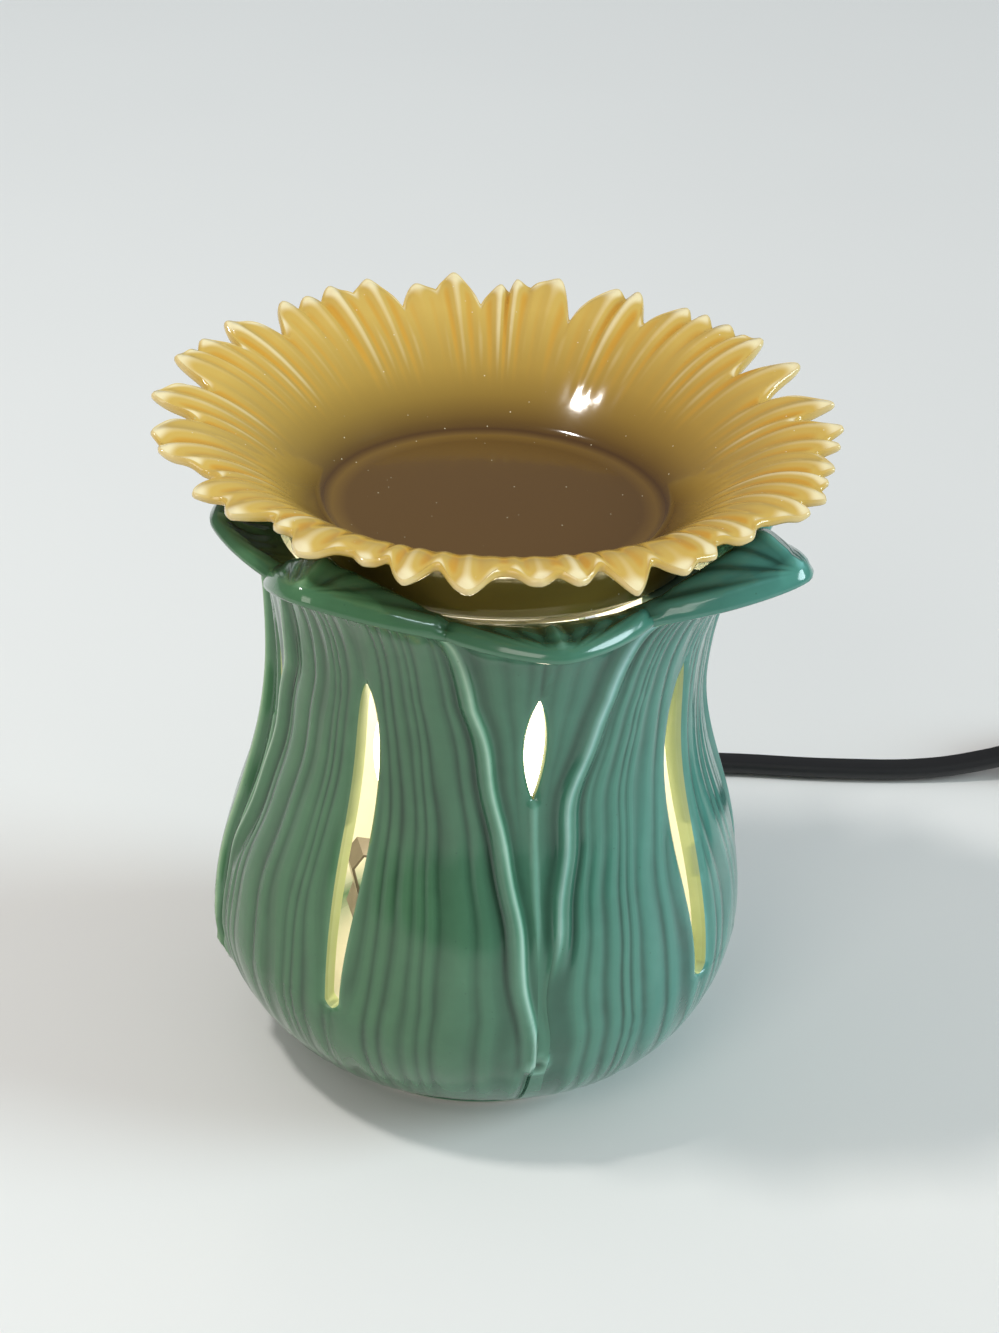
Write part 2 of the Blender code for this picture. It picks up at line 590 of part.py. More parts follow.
def lamp_holder(mats):
    flange_r = HOLDER_R + FLANGE_W
    wire_floor = CAP_CLEAR + CAP_BASE
    cap = turned("holder_cap", [
        (0, CAP_CLEAR), (flange_r, CAP_CLEAR), (flange_r, CAP_TOP), (WIRE_ROOM_R, CAP_TOP),
        (WIRE_ROOM_R, wire_floor), (0, wire_floor)], mats["phenolic"], 32, closed=False)
    slot = CORD_W / 2 + GAP, CORD_T / 2 + GAP
    cut(cap, box("cap_slot", (-slot[0], CORD_START_Y - GAP, CORD_Z - slot[1]),
                 (slot[0], flange_r + GAP, CORD_Z + slot[1]), mats["phenolic"]))
    turned("holder_shell", [
        (HOLDER_BORE_R, HOLDER_Z), (HOLDER_R, HOLDER_Z), (HOLDER_R, HOLDER_TOP - COLLAR_T),
        (HOLDER_R - COLLAR_T, HOLDER_TOP), (HOLDER_BORE_R, HOLDER_TOP)], mats["phenolic"], 32)
    block = turned("contact_block", [
        (0, HOLDER_Z), (SHELL_R, HOLDER_Z), (SHELL_R, BLOCK_TOP), (0, BLOCK_TOP)],
        mats["phenolic"], 24, closed=False)
    turned("screw_shell", [
        (SHELL_BORE_R, SHELL_Z), (SHELL_R, SHELL_Z), (SHELL_R, SHELL_Z + SHELL_H),
        (SHELL_BORE_R, SHELL_Z + SHELL_H)], mats["brass"], 24)
    low, high = SHELL_Z + LEAF_SPRING_T / 2, TIP_Z - GAP - LEAF_SPRING_T / 2
    half = 0.5 * SHELL_BORE_R
    strip("contact_leaf", [(half, low), (0.2 * half, low), (-0.3 * half, high), (0.4 * half, high)],
          LEAF_SPRING_W, LEAF_SPRING_T, mats["brass"])
    head_z = HOLDER_Z - GAP
    for side, label in ((-1, "line"), (1, "neutral")):
        centre = (side * TERMINAL_OFF, 0.0)
        depth = HOLDER_Z + TERMINAL_DEPTH
        cut(block, turned("terminal_hole_" + label, [
            (0, HOLDER_Z - GAP), (TERMINAL_R + GAP, HOLDER_Z - GAP), (TERMINAL_R + GAP, depth + GAP),
            (0, depth + GAP)], mats["phenolic"], 12, closed=False, centre=centre))
        turned("terminal_screw_" + label, [
            (0, head_z - TERMINAL_R), (TERMINAL_HEAD_R, head_z - TERMINAL_R), (TERMINAL_HEAD_R, head_z),
            (TERMINAL_R, head_z), (TERMINAL_R, depth), (0, depth)],
            mats["brass"], 12, closed=False, centre=centre)
    collar_in = HOLDER_R + GAP
    collar_out = collar_in + COLLAR_T
    collar_top = HOLDER_TOP - COLLAR_DROP
    turned("clip_collar", [
        (collar_in, collar_top - COLLAR_H), (collar_out, collar_top - COLLAR_H),
        (collar_out, collar_top), (collar_in, collar_top)], mats["steel"], 32)
    root = collar_out + GAP + CLIP_T / 2
    foot = FLOOR_TOP + GAP + CLIP_T / 2
    drop = collar_top - foot
    path = [(root, collar_top - 0.8 * COLLAR_H), (root, collar_top)]
    path += [(root + out * CLIP_BOW, collar_top + up * CLIP_RISE)
             for out, up in ((0.3, 0.8), (0.75, 1.0), (1.0, 0.4))]
    path += [(root + out * CLIP_BOW, foot + up * drop)
             for out, up in ((0.8, 0.8), (0.95, 0.64), (0.7, 0.4), (0.4, 0.12), (0.5, 0.0))]
    path.append((path[-1][0] + CLIP_FOOT, foot))
    for side, label in ((-1, "left"), (1, "right")):
        strip("clip_leg_" + label, [(side * x, z) for x, z in path], CLIP_W, CLIP_T, mats["steel"])


# Lamp

def lamp(mats):
    base_top = TIP_Z + LAMP_BASE_H
    turned("lamp_tip", [
        (0, TIP_Z), (0.7 * TIP_R, TIP_Z + 0.2 * TIP_H), (TIP_R, TIP_Z + TIP_H), (0, TIP_Z + TIP_H)],
        mats["tin"], 16, closed=False)
    glass_low = TIP_Z + TIP_H + GAP
    glass_high = glass_low + INSULATOR_H
    shoulder = 0.88 * LAMP_BASE_R
    turned("lamp_insulator", [
        (0, glass_low), (1.15 * TIP_R, glass_low), (shoulder, glass_high), (0, glass_high)],
        mats["black_glass"], 20, closed=False)
    base_low = glass_high + GAP
    outside = [(shoulder, base_low)]
    thread_z = base_low + 0.8 * THREAD_PITCH
    for turn in range(THREAD_TURNS):
        middle = thread_z + turn * THREAD_PITCH * 0.72
        outside += [(LAMP_BASE_R - THREAD_DEPTH, middle), (LAMP_BASE_R, middle + 0.36 * THREAD_PITCH)]
    outside = [(r, z) for r, z in outside if z < base_top - THREAD_DEPTH] + [(LAMP_BASE_R, base_top)]
    bore_r = LAMP_BASE_R - THREAD_DEPTH - BASE_T
    inside = [(bore_r, base_top), (bore_r, base_low + GAP), (shoulder - BASE_T, base_low)]
    turned("lamp_base", outside + inside, mats["aluminium"], 24)
    neck_r = bore_r - GAP
    neck_z = base_top - NECK_IN
    bulge = []
    for k in range(GLOBE_ROWS):
        angle = (GLOBE_START + pi / 2) * k / GLOBE_ROWS - GLOBE_START
        bulge.append((GLOBE_R * cos(angle), GLOBE_Z + GLOBE_R * sin(angle)))
    bulge_r, bulge_z = bulge[0]
    neck = [(neck_r, neck_z), (neck_r, HOLDER_TOP), ((neck_r + bulge_r) / 2, (HOLDER_TOP + bulge_z) / 2)]
    outer = neck + bulge
    shrink = 1 - GLASS_T / GLOBE_R
    inner = [(r - GLASS_T, z) for r, z in neck]
    inner += [(r * shrink, GLOBE_Z + (z - GLOBE_Z) * shrink) for r, z in bulge]
    profile = [(0, LAMP_TOP)] + outer[::-1] + inner + [(0, LAMP_TOP - GLASS_T)]
    turned("lamp_globe", profile, mats["glass"], 24, closed=False)
    skirt = neck_r - GLASS_T - GAP
    stem_top = neck_z + STEM_H
    turned("lamp_stem", [
        (0, neck_z), (skirt, neck_z), (skirt, neck_z + GLASS_T), (2 * STEM_R, neck_z + 0.3 * STEM_H),
        (STEM_R, stem_top), (0, stem_top)], mats["glass"], 16, closed=False)
    wire_low = stem_top + GAP
    wire_high = wire_low + WIRE_H
    for side, label in ((-1, "left"), (1, "right")):
        tube("lamp_wire_" + label, [
            (side * 2 * WIRE_R, 0, wire_low), (side * 3 * WIRE_R, 0, wire_low + 0.2 * WIRE_H),
            (side * WIRE_SPREAD, 0, wire_high)], WIRE_R, mats["tin"])
    filament_z = wire_high + GAP + 2 * WIRE_R
    span = WIRE_SPREAD + WIRE_R
    tube("lamp_filament", [
        (span * sin(pi / 2 * k / 4), 0.3 * span * (1 - (k / 4) ** 2), filament_z) for k in range(-4, 5)],
        WIRE_R, mats["tungsten"])


def tube(name, points, radius, mat):
    """A round wire through its points."""
    curve = bpy.data.curves.new(name, "CURVE")
    curve.dimensions = "3D"
    curve.bevel_depth = radius
    curve.bevel_resolution = 1
    curve.use_fill_caps = True
    spline = curve.splines.new("POLY")
    spline.points.add(len(points) - 1)
    for target, point in zip(spline.points, points):
        target.co = (*point, 1.0)
    curve.materials.append(mat)
    obj = bpy.data.objects.new(name, curve)
    bpy.context.collection.objects.link(obj)
    return obj


# Lead

def smooth_route(route, spacing):
    """Points at an even spacing on a smooth curve through the route's own points."""
    points = [Vector(p) for p in route]
    ends = [2 * points[0] - points[1]] + points + [2 * points[-1] - points[-2]]
    fine = []
    for a, b, c, d in zip(ends, ends[1:], ends[2:], ends[3:]):
        for k in range(40):
            t = k / 40
            fine.append(0.5 * (2 * b + (c - a) * t + (2 * a - 5 * b + 4 * c - d) * t * t
                               + (3 * b - a - 3 * c + d) * t ** 3))
    fine.append(points[-1])
    total = sum((q - p).length for p, q in zip(fine, fine[1:]))
    count = max(2, ceil(total / spacing))
    out, walked, wanted = [fine[0]], 0.0, total / count
    for p, q in zip(fine, fine[1:]):
        step = (q - p).length
        while walked + step >= wanted and len(out) < count:
            out.append(p.lerp(q, (wanted - walked) / step))
            wanted += total / count
        walked += step
    return out + [fine[-1]]


def flat_cord(name, points, turns, profile, mat):
    """A flat cord along its points. A turn of 0 lies flat, and a quarter turn stands on edge."""
    curve = bpy.data.curves.new(name, "CURVE")
    curve.dimensions = "3D"
    curve.twist_mode = "Z_UP"
    curve.bevel_mode = "OBJECT"
    curve.bevel_object = profile
    curve.use_fill_caps = True
    spline = curve.splines.new("POLY")
    spline.points.add(len(points) - 1)
    for target, point, turn in zip(spline.points, points, turns):
        target.co = (*point, 1.0)
        target.tilt = turn
    curve.materials.append(mat)
    obj = bpy.data.objects.new(name, curve)
    bpy.context.collection.objects.link(obj)
    return obj


def cord_profile():
    """Section of the flat cord, as a guide for the curves."""
    curve = bpy.data.curves.new("cord_section", "CURVE")
    curve.dimensions = "2D"
    points = rounded_ring(CORD_W, CORD_T, CORD_T / 2)[::-1]
    spline = curve.splines.new("POLY")
    spline.points.add(len(points) - 1)
    for target, (x, y) in zip(spline.points, points):
        target.co = (x, y, 0.0, 1.0)
    spline.use_cyclic_u = True
    guide = bpy.data.objects.new("cord_section", curve)
    bpy.context.collection.objects.link(guide)
    guide.hide_render = True
    guide.display_type = "WIRE"
    return guide


BUSH_START_Y = FOOT_R - 1.2 * FOOT_RING
BUSH_TAPER_Y = wall_radius(NOTCH_H)
BUSH_END_Y = BUSH_TAPER_Y + BUSH_TAIL
SWITCH_IN_X = SWITCH_X - SWITCH_L / 2
SWITCH_OUT_X = SWITCH_X + SWITCH_L / 2
COIL_X = SWITCH_OUT_X + RUN_L
COIL_Y = SWITCH_Y - COIL_R
COIL_Z = COIL_LIFT + CORD_W / 2
TAIL_X = COIL_X + COIL_R
PLUG_Y = COIL_Y - TAIL_L
PLUG_MID = GAP + PLUG_H / 2


def lead_route():
    """From the lamp holder, out under the rear of the body and round to the switch on the right."""
    return [
        (0, CORD_START_Y, CORD_Z), (0, BUSH_START_Y, CORD_Z), (0, BUSH_TAPER_Y, CORD_Z),
        (0, BUSH_END_Y, CORD_Z),
        (0.0020, 0.0780, 0.0028), (0.0090, 0.0910, TABLE_CORD_Z), (0.0220, 0.1010, TABLE_CORD_Z),
        (0.0400, 0.1055, TABLE_CORD_Z), (0.0620, 0.1060, TABLE_CORD_Z), (0.0900, 0.1012, TABLE_CORD_Z),
        (0.1220, 0.0932, TABLE_CORD_Z), (0.1460, 0.0892, 0.0025), (0.1620, SWITCH_Y, 0.0045),
        (SWITCH_IN_X - CORD_T, SWITCH_Y, SWITCH_MID - GAP / 2), (SWITCH_IN_X, SWITCH_Y, SWITCH_MID),
        (SWITCH_IN_X + CORD_SOCKET, SWITCH_Y, SWITCH_MID)]


def coil_points():
    """Two layers of loops: in on the lower layer, up in the half turn that reverses, out on the upper."""
    total = round(COIL_TURNS * COIL_STEPS)
    inward = (COIL_TURNS - 0.5) / 2
    points = []
    for k in range(total + 1):
        turn = k / COIL_STEPS
        climb = min(1.0, max(0.0, (turn - inward) / 0.5))
        radius = COIL_R - COIL_PITCH * min(turn, COIL_TURNS - turn)
        height = COIL_Z + COIL_LAYER * climb * climb * (3 - 2 * climb)
        angle = pi / 2 - tau * turn
        points.append(Vector((COIL_X + radius * cos(angle), COIL_Y + radius * sin(angle), height)))
    return points


def coil_gap(points):
    """Least gap between loops of the standing cord, taken as upright sections with round ends."""
    straight = CORD_W - CORD_T
    least = 1.0
    for i, p in enumerate(points):
        for q in points[i + COIL_STEPS // 2:]:
            level = hypot(p.x - q.x, p.y - q.y)
            upright = max(0.0, abs(p.z - q.z) - straight)
            least = min(least, hypot(level, upright) - CORD_T)
    return least


def lead(mats):
    profile = cord_profile()
    edge = pi / 2
    points = smooth_route(lead_route(), 1.1 * CORD_W)
    flat_cord("cord_lead", points, [0.0] * len(points), profile, mats["cord"])
    coil = coil_points()
    print("least gap between the coil's loops: %.2f mm" % (1000 * coil_gap(coil)))
    flat_cord("cord_coil", coil, [edge] * len(coil), profile, mats["cord"])
    run_start = SWITCH_OUT_X - CORD_SOCKET
    run = smooth_route([
        (run_start, SWITCH_Y, SWITCH_MID), (SWITCH_OUT_X, SWITCH_Y, SWITCH_MID),
        (SWITCH_OUT_X + 0.4 * RUN_L, SWITCH_Y, 0.6 * SWITCH_MID + 0.4 * COIL_Z),
        (COIL_X - 0.25 * RUN_L, SWITCH_Y, COIL_Z), (COIL_X - GAP, SWITCH_Y, COIL_Z)], 0.6 * CORD_W)
    run_turns = [edge * twist_share(p.x, SWITCH_OUT_X, COIL_X - 0.2 * RUN_L) for p in run]
    flat_cord("cord_run", run, run_turns, profile, mats["cord"])
    top_z = COIL_Z + COIL_LAYER
    tail = smooth_route([
        (TAIL_X, COIL_Y - GAP, top_z), (TAIL_X, COIL_Y - 0.25 * TAIL_L, top_z - 0.1 * COIL_LAYER),
        (TAIL_X, COIL_Y - 0.55 * TAIL_L, 0.4 * top_z + 0.6 * PLUG_MID),
        (TAIL_X, PLUG_Y + 0.15 * TAIL_L, PLUG_MID),
        (TAIL_X, PLUG_Y - CORD_SOCKET, PLUG_MID)], 0.6 * CORD_W)
    tail_turns = [edge * twist_share(p.y, PLUG_Y + 0.1 * TAIL_L, COIL_Y - 0.2 * TAIL_L) for p in tail]
    flat_cord("cord_tail", tail, tail_turns, profile, mats["cord"])
    coil_tie(mats["tie"])
    cord_bush(mats["rubber"])


def twist_share(along, start, end):
    share = min(1.0, max(0.0, (along - start) / (end - start)))
    return share * share * (3 - 2 * share)


def coil_tie(mat):
    """A flat band round the loops of the coil."""
    inner_r = COIL_R - COIL_PITCH * COIL_TURNS / 2 - CORD_T / 2 - GAP
    outer_r = COIL_R + CORD_T / 2 + GAP
    low, high = COIL_LIFT - GAP, COIL_LIFT + CORD_W + COIL_LAYER + GAP
    across = Vector((cos(TIE_ANGLE), sin(TIE_ANGLE), 0))
    along = Vector((-sin(TIE_ANGLE), cos(TIE_ANGLE), 0))
    centre = Vector((COIL_X, COIL_Y, (low + high) / 2)) + across * (inner_r + outer_r) / 2
    rings = []
    for grow, side in ((0, -1), (TIE_T, -1), (TIE_T, 1), (0, 1)):
        outline = rounded_ring(outer_r - inner_r + 2 * grow, high - low + 2 * grow, CORD_T / 2)
        rings.append([centre + across * a + Vector((0, 0, b)) + along * side * TIE_W / 2 for a, b in outline])
    loft("cord_tie", rings, mat, closed=True)


def cord_bush(mat):
    """A tapered sleeve in the notch of the foot, with the cord through it."""
    end_w = CORD_W + 2 * (GAP + BUSH_END_T)
    end_h = CORD_T + 2 * (GAP + BUSH_END_T)
    sections = [(BUSH_START_Y, CORD_W + 2 * GAP, CORD_T + 2 * GAP), (BUSH_START_Y, BUSH_W, BUSH_H),
                (BUSH_TAPER_Y, BUSH_W, BUSH_H), (BUSH_END_Y, end_w, end_h),
                (BUSH_END_Y, CORD_W + 2 * GAP, CORD_T + 2 * GAP)]
    loft("cord_bush", [[(a, y, CORD_Z + b) for a, b in rounded_ring(w, h, h / 2)] for y, w, h in sections],
         mat, closed=True)


# Switch

def switch(mats):
    half_l, half_w, nose = SWITCH_L / 2, SWITCH_W / 2, SWITCH_NOSE / 2
    right = [(half_l, -nose), (0.8 * half_l, -0.8 * half_w), (0.5 * half_l, -half_w)]
    outline = [(-x, y) for x, y in right] + right[::-1]
    outline += [(x, -y) for x, y in right] + [(-x, -y) for x, y in right[::-1]]
    outline = [(SWITCH_X + x, SWITCH_Y + y) for x, y in outline]
    low, top = GAP, GAP + SWITCH_H
    lower = prism("switch_lower", outline, low, SWITCH_MID - GAP / 2, mats["switch"])
    upper = prism("switch_upper", outline, SWITCH_MID + GAP / 2, top, mats["switch"])
    wheel_y = SWITCH_Y - half_w + WHEEL_R - WHEEL_PROUD
    screw_y = SWITCH_Y + half_w - SWITCH_WALL - SCREW_HEAD_R
    room_back = screw_y - SCREW_HEAD_R
    room_low, room_high = low + SWITCH_WALL, top - SWITCH_WALL
    room = box("switch_room", (SWITCH_X - 0.62 * half_l, SWITCH_Y - half_w + SWITCH_WALL, room_low),
               (SWITCH_X + 0.62 * half_l, room_back, room_high), mats["switch"])
    slot = CORD_W / 2 + GAP, CORD_T / 2 + GAP
    entries = [box("switch_entry_" + label, (x0, SWITCH_Y - slot[0], SWITCH_MID - slot[1]),
                   (x1, SWITCH_Y + slot[0], SWITCH_MID + slot[1]), mats["switch"])
               for label, x0, x1 in (("in", SWITCH_IN_X - GAP, SWITCH_X - 0.5 * half_l),
                                     ("out", SWITCH_X + 0.5 * half_l, SWITCH_OUT_X + GAP))]
    wheel_low, wheel_high = SWITCH_MID - WHEEL_T / 2, SWITCH_MID + WHEEL_T / 2
    sweep = turned("wheel_slot", disc(WHEEL_R + RUN_GAP, wheel_low - RUN_GAP, wheel_high + RUN_GAP),
                   mats["switch"], 28, closed=False, centre=(SWITCH_X, wheel_y))
    thread_top = top - SWITCH_WALL
    head_z = low + SCREW_HEAD_H
    hole = turned("screw_hole", [
        (0, low - GAP), (SCREW_HEAD_R + GAP, low - GAP), (SCREW_HEAD_R + GAP, head_z + GAP),
        (SCREW_R + GAP, head_z + GAP), (SCREW_R + GAP, thread_top + GAP), (0, thread_top + GAP)],
        mats["switch"], 12, closed=False, centre=(SWITCH_X, screw_y))
    for half in (lower, upper):
        for cutter in (room, *entries, sweep, hole):
            cut(half, cutter)
    turned("switch_screw", [
        (0, low), (SCREW_HEAD_R, low), (SCREW_HEAD_R, head_z), (SCREW_R, head_z), (SCREW_R, thread_top),
        (0, thread_top)], mats["steel"], 12, closed=False, centre=(SWITCH_X, screw_y))
    turned("switch_wheel", [
        (AXLE_R + RUN_GAP, wheel_low), (0.93 * WHEEL_R, wheel_low), (WHEEL_R, wheel_low + 0.2 * WHEEL_T),
        (WHEEL_R, wheel_high - 0.2 * WHEEL_T), (0.93 * WHEEL_R, wheel_high), (AXLE_R + RUN_GAP, wheel_high)],
        mats["wheel"], 28, centre=(SWITCH_X, wheel_y))
    shoulder = wheel_low - GAP
    turned("switch_axle", [
        (0, room_low + GAP), (2 * AXLE_R, room_low + GAP), (2 * AXLE_R, shoulder), (AXLE_R, shoulder),
        (AXLE_R, room_high - GAP), (0, room_high - GAP)], mats["steel"], 12, closed=False,
        centre=(SWITCH_X, wheel_y))
    for side, label in ((-1, "in"), (1, "out")):
        x = SWITCH_X + side * (WHEEL_R + 2 * CONTACT_T)
        box("switch_contact_" + label, (x - CONTACT_T / 2, room_back - GAP - CONTACT_W, room_low + GAP),
            (x + CONTACT_T / 2, room_back - GAP, SWITCH_MID - CORD_T / 2 - GAP), mats["brass"])


def disc(radius, low, high):
    return [(0, low), (radius, low), (radius, high), (0, high)]


# Plug

def plug(mats):
    front = PLUG_Y - PLUG_L
    tail_w, tail_h = CORD_W + 4 * BUSH_END_T, CORD_T + 4 * BUSH_END_T
    sections = [(PLUG_Y, tail_w, tail_h), (PLUG_Y - 0.3 * PLUG_L, 0.6 * PLUG_W, 0.7 * PLUG_H),
                (PLUG_Y - 0.55 * PLUG_L, PLUG_W, PLUG_H), (front, PLUG_W, PLUG_H)]
    body = loft("plug_body", [[(TAIL_X + a, y, PLUG_MID + b) for a, b in rounded_ring(w, h, 0.4 * h)]
                              for y, w, h in sections], mats["rubber"])
    slot = CORD_W / 2 + GAP, CORD_T / 2 + GAP
    cut(body, box("plug_entry", (TAIL_X - slot[0], PLUG_Y - CORD_SOCKET - GAP, PLUG_MID - slot[1]),
                  (TAIL_X + slot[0], PLUG_Y + GAP, PLUG_MID + slot[1]), mats["rubber"]))
    for side, label in ((-1, "left"), (1, "right")):
        x = TAIL_X + side * BLADE_SPACING / 2
        low = (x - BLADE_T / 2, front - BLADE_L, PLUG_MID - BLADE_W / 2)
        high = (x + BLADE_T / 2, front + BLADE_ROOT, PLUG_MID + BLADE_W / 2)
        box("plug_blade_" + label, low, high, mats["brass"])
        pocket = [v - GAP for v in low], [v + GAP for v in high]
        cut(body, box("blade_pocket_" + label, *pocket, mats["brass"]))


def main():
    for obj in list(bpy.data.objects):
        bpy.data.objects.remove(obj, do_unlink=True)
    mats = {
        "phenolic": material("black phenolic", (0.02, 0.02, 0.02), 0.4),
        "brass": material("brass", (0.72, 0.52, 0.22), 0.3, 1.0),
        "steel": material("spring steel", (0.55, 0.53, 0.50), 0.3, 1.0),
        "tin": material("solder", (0.6, 0.6, 0.6), 0.4, 1.0),
        "aluminium": material("aluminium", (0.78, 0.78, 0.78), 0.3, 1.0),
        "black_glass": material("black glass", (0.01, 0.01, 0.012), 0.1),
        "glass": material("lamp glass", (0.95, 0.93, 0.88), 0.05, 0.0, 1.0),
        "tungsten": material("tungsten", (0.35, 0.34, 0.33), 0.4, 1.0),
        "cord": material("black cord", (0.012, 0.012, 0.012), 0.5),
        "rubber": material("black rubber", (0.015, 0.015, 0.015), 0.6),
        "tie": material("black tie", (0.03, 0.03, 0.03), 0.6),
        "switch": material("black plastic", (0.015, 0.015, 0.015), 0.4),
        "wheel": material("ribbed black plastic", (0.02, 0.02, 0.02), 0.5),
    }
    ceramic_body(material("green glaze", (0.09, 0.22, 0.15), 0.15))
    dish(material("amber glaze", (0.66, 0.40, 0.09), 0.15))
    lamp_holder(mats)
    lamp(mats)
    lead(mats)
    switch(mats)
    plug(mats)


main()
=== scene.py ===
import bpy
import bmesh
import json
from math import atan2, cos, degrees, exp, hypot, pi, radians, sin, tau
from mathutils import Matrix, Vector

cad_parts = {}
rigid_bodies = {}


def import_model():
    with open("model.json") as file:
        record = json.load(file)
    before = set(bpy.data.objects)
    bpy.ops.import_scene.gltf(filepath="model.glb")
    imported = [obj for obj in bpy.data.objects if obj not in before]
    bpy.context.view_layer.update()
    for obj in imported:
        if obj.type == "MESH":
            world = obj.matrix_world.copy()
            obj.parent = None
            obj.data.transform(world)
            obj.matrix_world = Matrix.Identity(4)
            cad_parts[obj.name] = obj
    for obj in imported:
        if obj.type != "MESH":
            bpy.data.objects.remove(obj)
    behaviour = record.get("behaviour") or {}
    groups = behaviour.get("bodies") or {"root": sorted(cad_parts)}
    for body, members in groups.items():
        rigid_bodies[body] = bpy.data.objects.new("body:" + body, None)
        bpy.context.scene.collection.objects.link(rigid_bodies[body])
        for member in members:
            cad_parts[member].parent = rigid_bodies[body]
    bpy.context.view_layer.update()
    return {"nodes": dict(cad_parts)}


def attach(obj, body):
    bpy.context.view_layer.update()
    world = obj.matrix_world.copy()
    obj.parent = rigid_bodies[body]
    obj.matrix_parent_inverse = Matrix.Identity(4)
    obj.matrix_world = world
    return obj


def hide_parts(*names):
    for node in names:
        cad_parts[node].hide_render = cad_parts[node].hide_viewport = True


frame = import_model()
mm = 0.001
print("frame loaded:", len(frame["nodes"]), "solids")


# shader helpers

class Wire:  # a socket that takes part in plain sums
    def __init__(self, paint, socket):
        self.paint, self.socket = paint, socket

    def math(self, operation, *values):
        return self.paint.node("ShaderNodeMath", {"operation": operation}, dict(enumerate((self, *values))))

    def __add__(self, other):
        return self.math("ADD", other)

    def __sub__(self, other):
        return self.math("SUBTRACT", other)

    def __rsub__(self, other):
        return self * -1 + other

    def __mul__(self, other):
        return self.math("MULTIPLY", other)

    def __truediv__(self, other):
        return self.math("DIVIDE", other)

    def __pow__(self, other):
        return self.math("POWER", other)

    __radd__ = __add__
    __rmul__ = __mul__


class Paint:  # one material and the nodes behind it
    def __init__(self, name, fixed):
        self.mat = bpy.data.materials.new(name)
        self.mat.use_nodes = True
        self.tree = self.mat.node_tree
        self.shader = self.tree.nodes["Principled BSDF"]
        for socket, value in fixed.items():
            self.shader.inputs[socket].default_value = value

    def node(self, kind, settings, inputs, output=0):
        made = self.tree.nodes.new(kind)
        for key, value in settings.items():
            if key == "stops":
                ramp = made.color_ramp.elements
                while len(ramp) < len(value):
                    ramp.new(1.0)
                for element, (place, colour) in zip(ramp, value):
                    element.position, element.color = place, (*colour, 1.0)
            else:
                setattr(made, key, value)
        for key, value in inputs.items():
            if isinstance(value, Wire):
                self.tree.links.new(value.socket, made.inputs[key])
            else:
                made.inputs[key].default_value = value
        return Wire(self, made.outputs[output])

    def place(self):
        return self.node("ShaderNodeTexCoord", {}, {}, "Object")

    def noise(self, scale, detail=2.0, vector=None):
        return self.node("ShaderNodeTexNoise", {}, {
            "Vector": vector or self.place(), "Scale": scale, "Detail": detail}, "Fac")

    def specks(self, scale):
        return self.node("ShaderNodeTexVoronoi", {}, {"Vector": self.place(), "Scale": scale}, "Distance")

    def value(self, name):
        return self.node("ShaderNodeAttribute", {"attribute_name": name}, {}, "Fac")

    def ramp(self, share, stops):
        return self.node("ShaderNodeValToRGB", {"stops": stops}, {"Fac": share})

    def mix(self, share, first, second, blend="MIX"):
        first, second = (c if isinstance(c, Wire) else (*c, 1.0) for c in (first, second))
        return self.node("ShaderNodeMix", {"data_type": "RGBA", "blend_type": blend}, {
            0: share, 6: first, 7: second}, 2)

    def along(self, axis):
        return self.node("ShaderNodeSeparateXYZ", {}, {0: self.place()}, axis)

    def between(self, value, low, high):
        return self.node("ShaderNodeMapRange", {"interpolation_type": "SMOOTHSTEP"}, {
            "Value": value, "From Min": low, "From Max": high}, "Result")

    def bump(self, height, strength, distance):
        return self.node("ShaderNodeBump", {}, {
            "Height": height, "Strength": strength, "Distance": distance}, "Normal")

    def feed(self, **wires):
        for socket, wire in wires.items():
            self.tree.links.new(wire.socket, self.shader.inputs[socket.replace("_", " ")])


def clamp(value):
    return min(1.0, max(0.0, value))


def softStep(value, low, high):
    share = clamp((value - low) / (high - low))
    return share * share * (3 - 2 * share)


def bell(value, width):
    return exp(-(value / width) ** 2)


def weigh(weights, parts):
    return sum(weight * parts[name] for name, weight in weights.items())


# piece helpers

def spinLine(bm, verts, steps, closed):  # a full turn of a line of points about the z axis
    edges = [bm.edges.new(pair) for pair in zip(verts, verts[1:] + (verts[:1] if closed else []))]
    bmesh.ops.spin(bm, geom=verts + edges, cent=(0, 0, 0), axis=(0, 0, 1), dvec=(0, 0, 0),
                   angle=tau, steps=steps, use_merge=True)


def spinGrid(rows, columns, closed, names, faceName=None):  # a turned grid and its points by column and row
    bm = bmesh.new()
    layers = {name: bm.verts.layers.float.new(name) for name in names}
    rowLayer = bm.verts.layers.int.new("row")
    if faceName:
        layers[faceName] = bm.faces.layers.float.new(faceName)
    verts = [bm.verts.new((1 + 0.01 * k, 0, 0.01 * k)) for k in range(rows)]
    for index, vert in enumerate(verts):
        vert[rowLayer] = index
    spinLine(bm, verts, columns, closed)
    grid = {}
    for vert in bm.verts:
        grid[round(atan2(vert.co.y, vert.co.x) / tau * columns) % columns, vert[rowLayer]] = vert
    return bm, grid, layers


def finishPiece(name, bm, mat, body, nodes=(), smooth=radians(40)):
    bmesh.ops.remove_doubles(bm, verts=bm.verts, dist=1e-7)
    bmesh.ops.recalc_face_normals(bm, faces=bm.faces)
    mesh = bpy.data.meshes.new(name)
    bm.to_mesh(mesh)
    bm.free()
    mesh.shade_smooth()
    mesh.set_sharp_from_angle(angle=smooth)
    mesh.materials.append(mat)
    piece = bpy.data.objects.new(name, mesh)
    bpy.context.collection.objects.link(piece)
    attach(piece, body)
    if nodes:
        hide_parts(*nodes)
    return piece


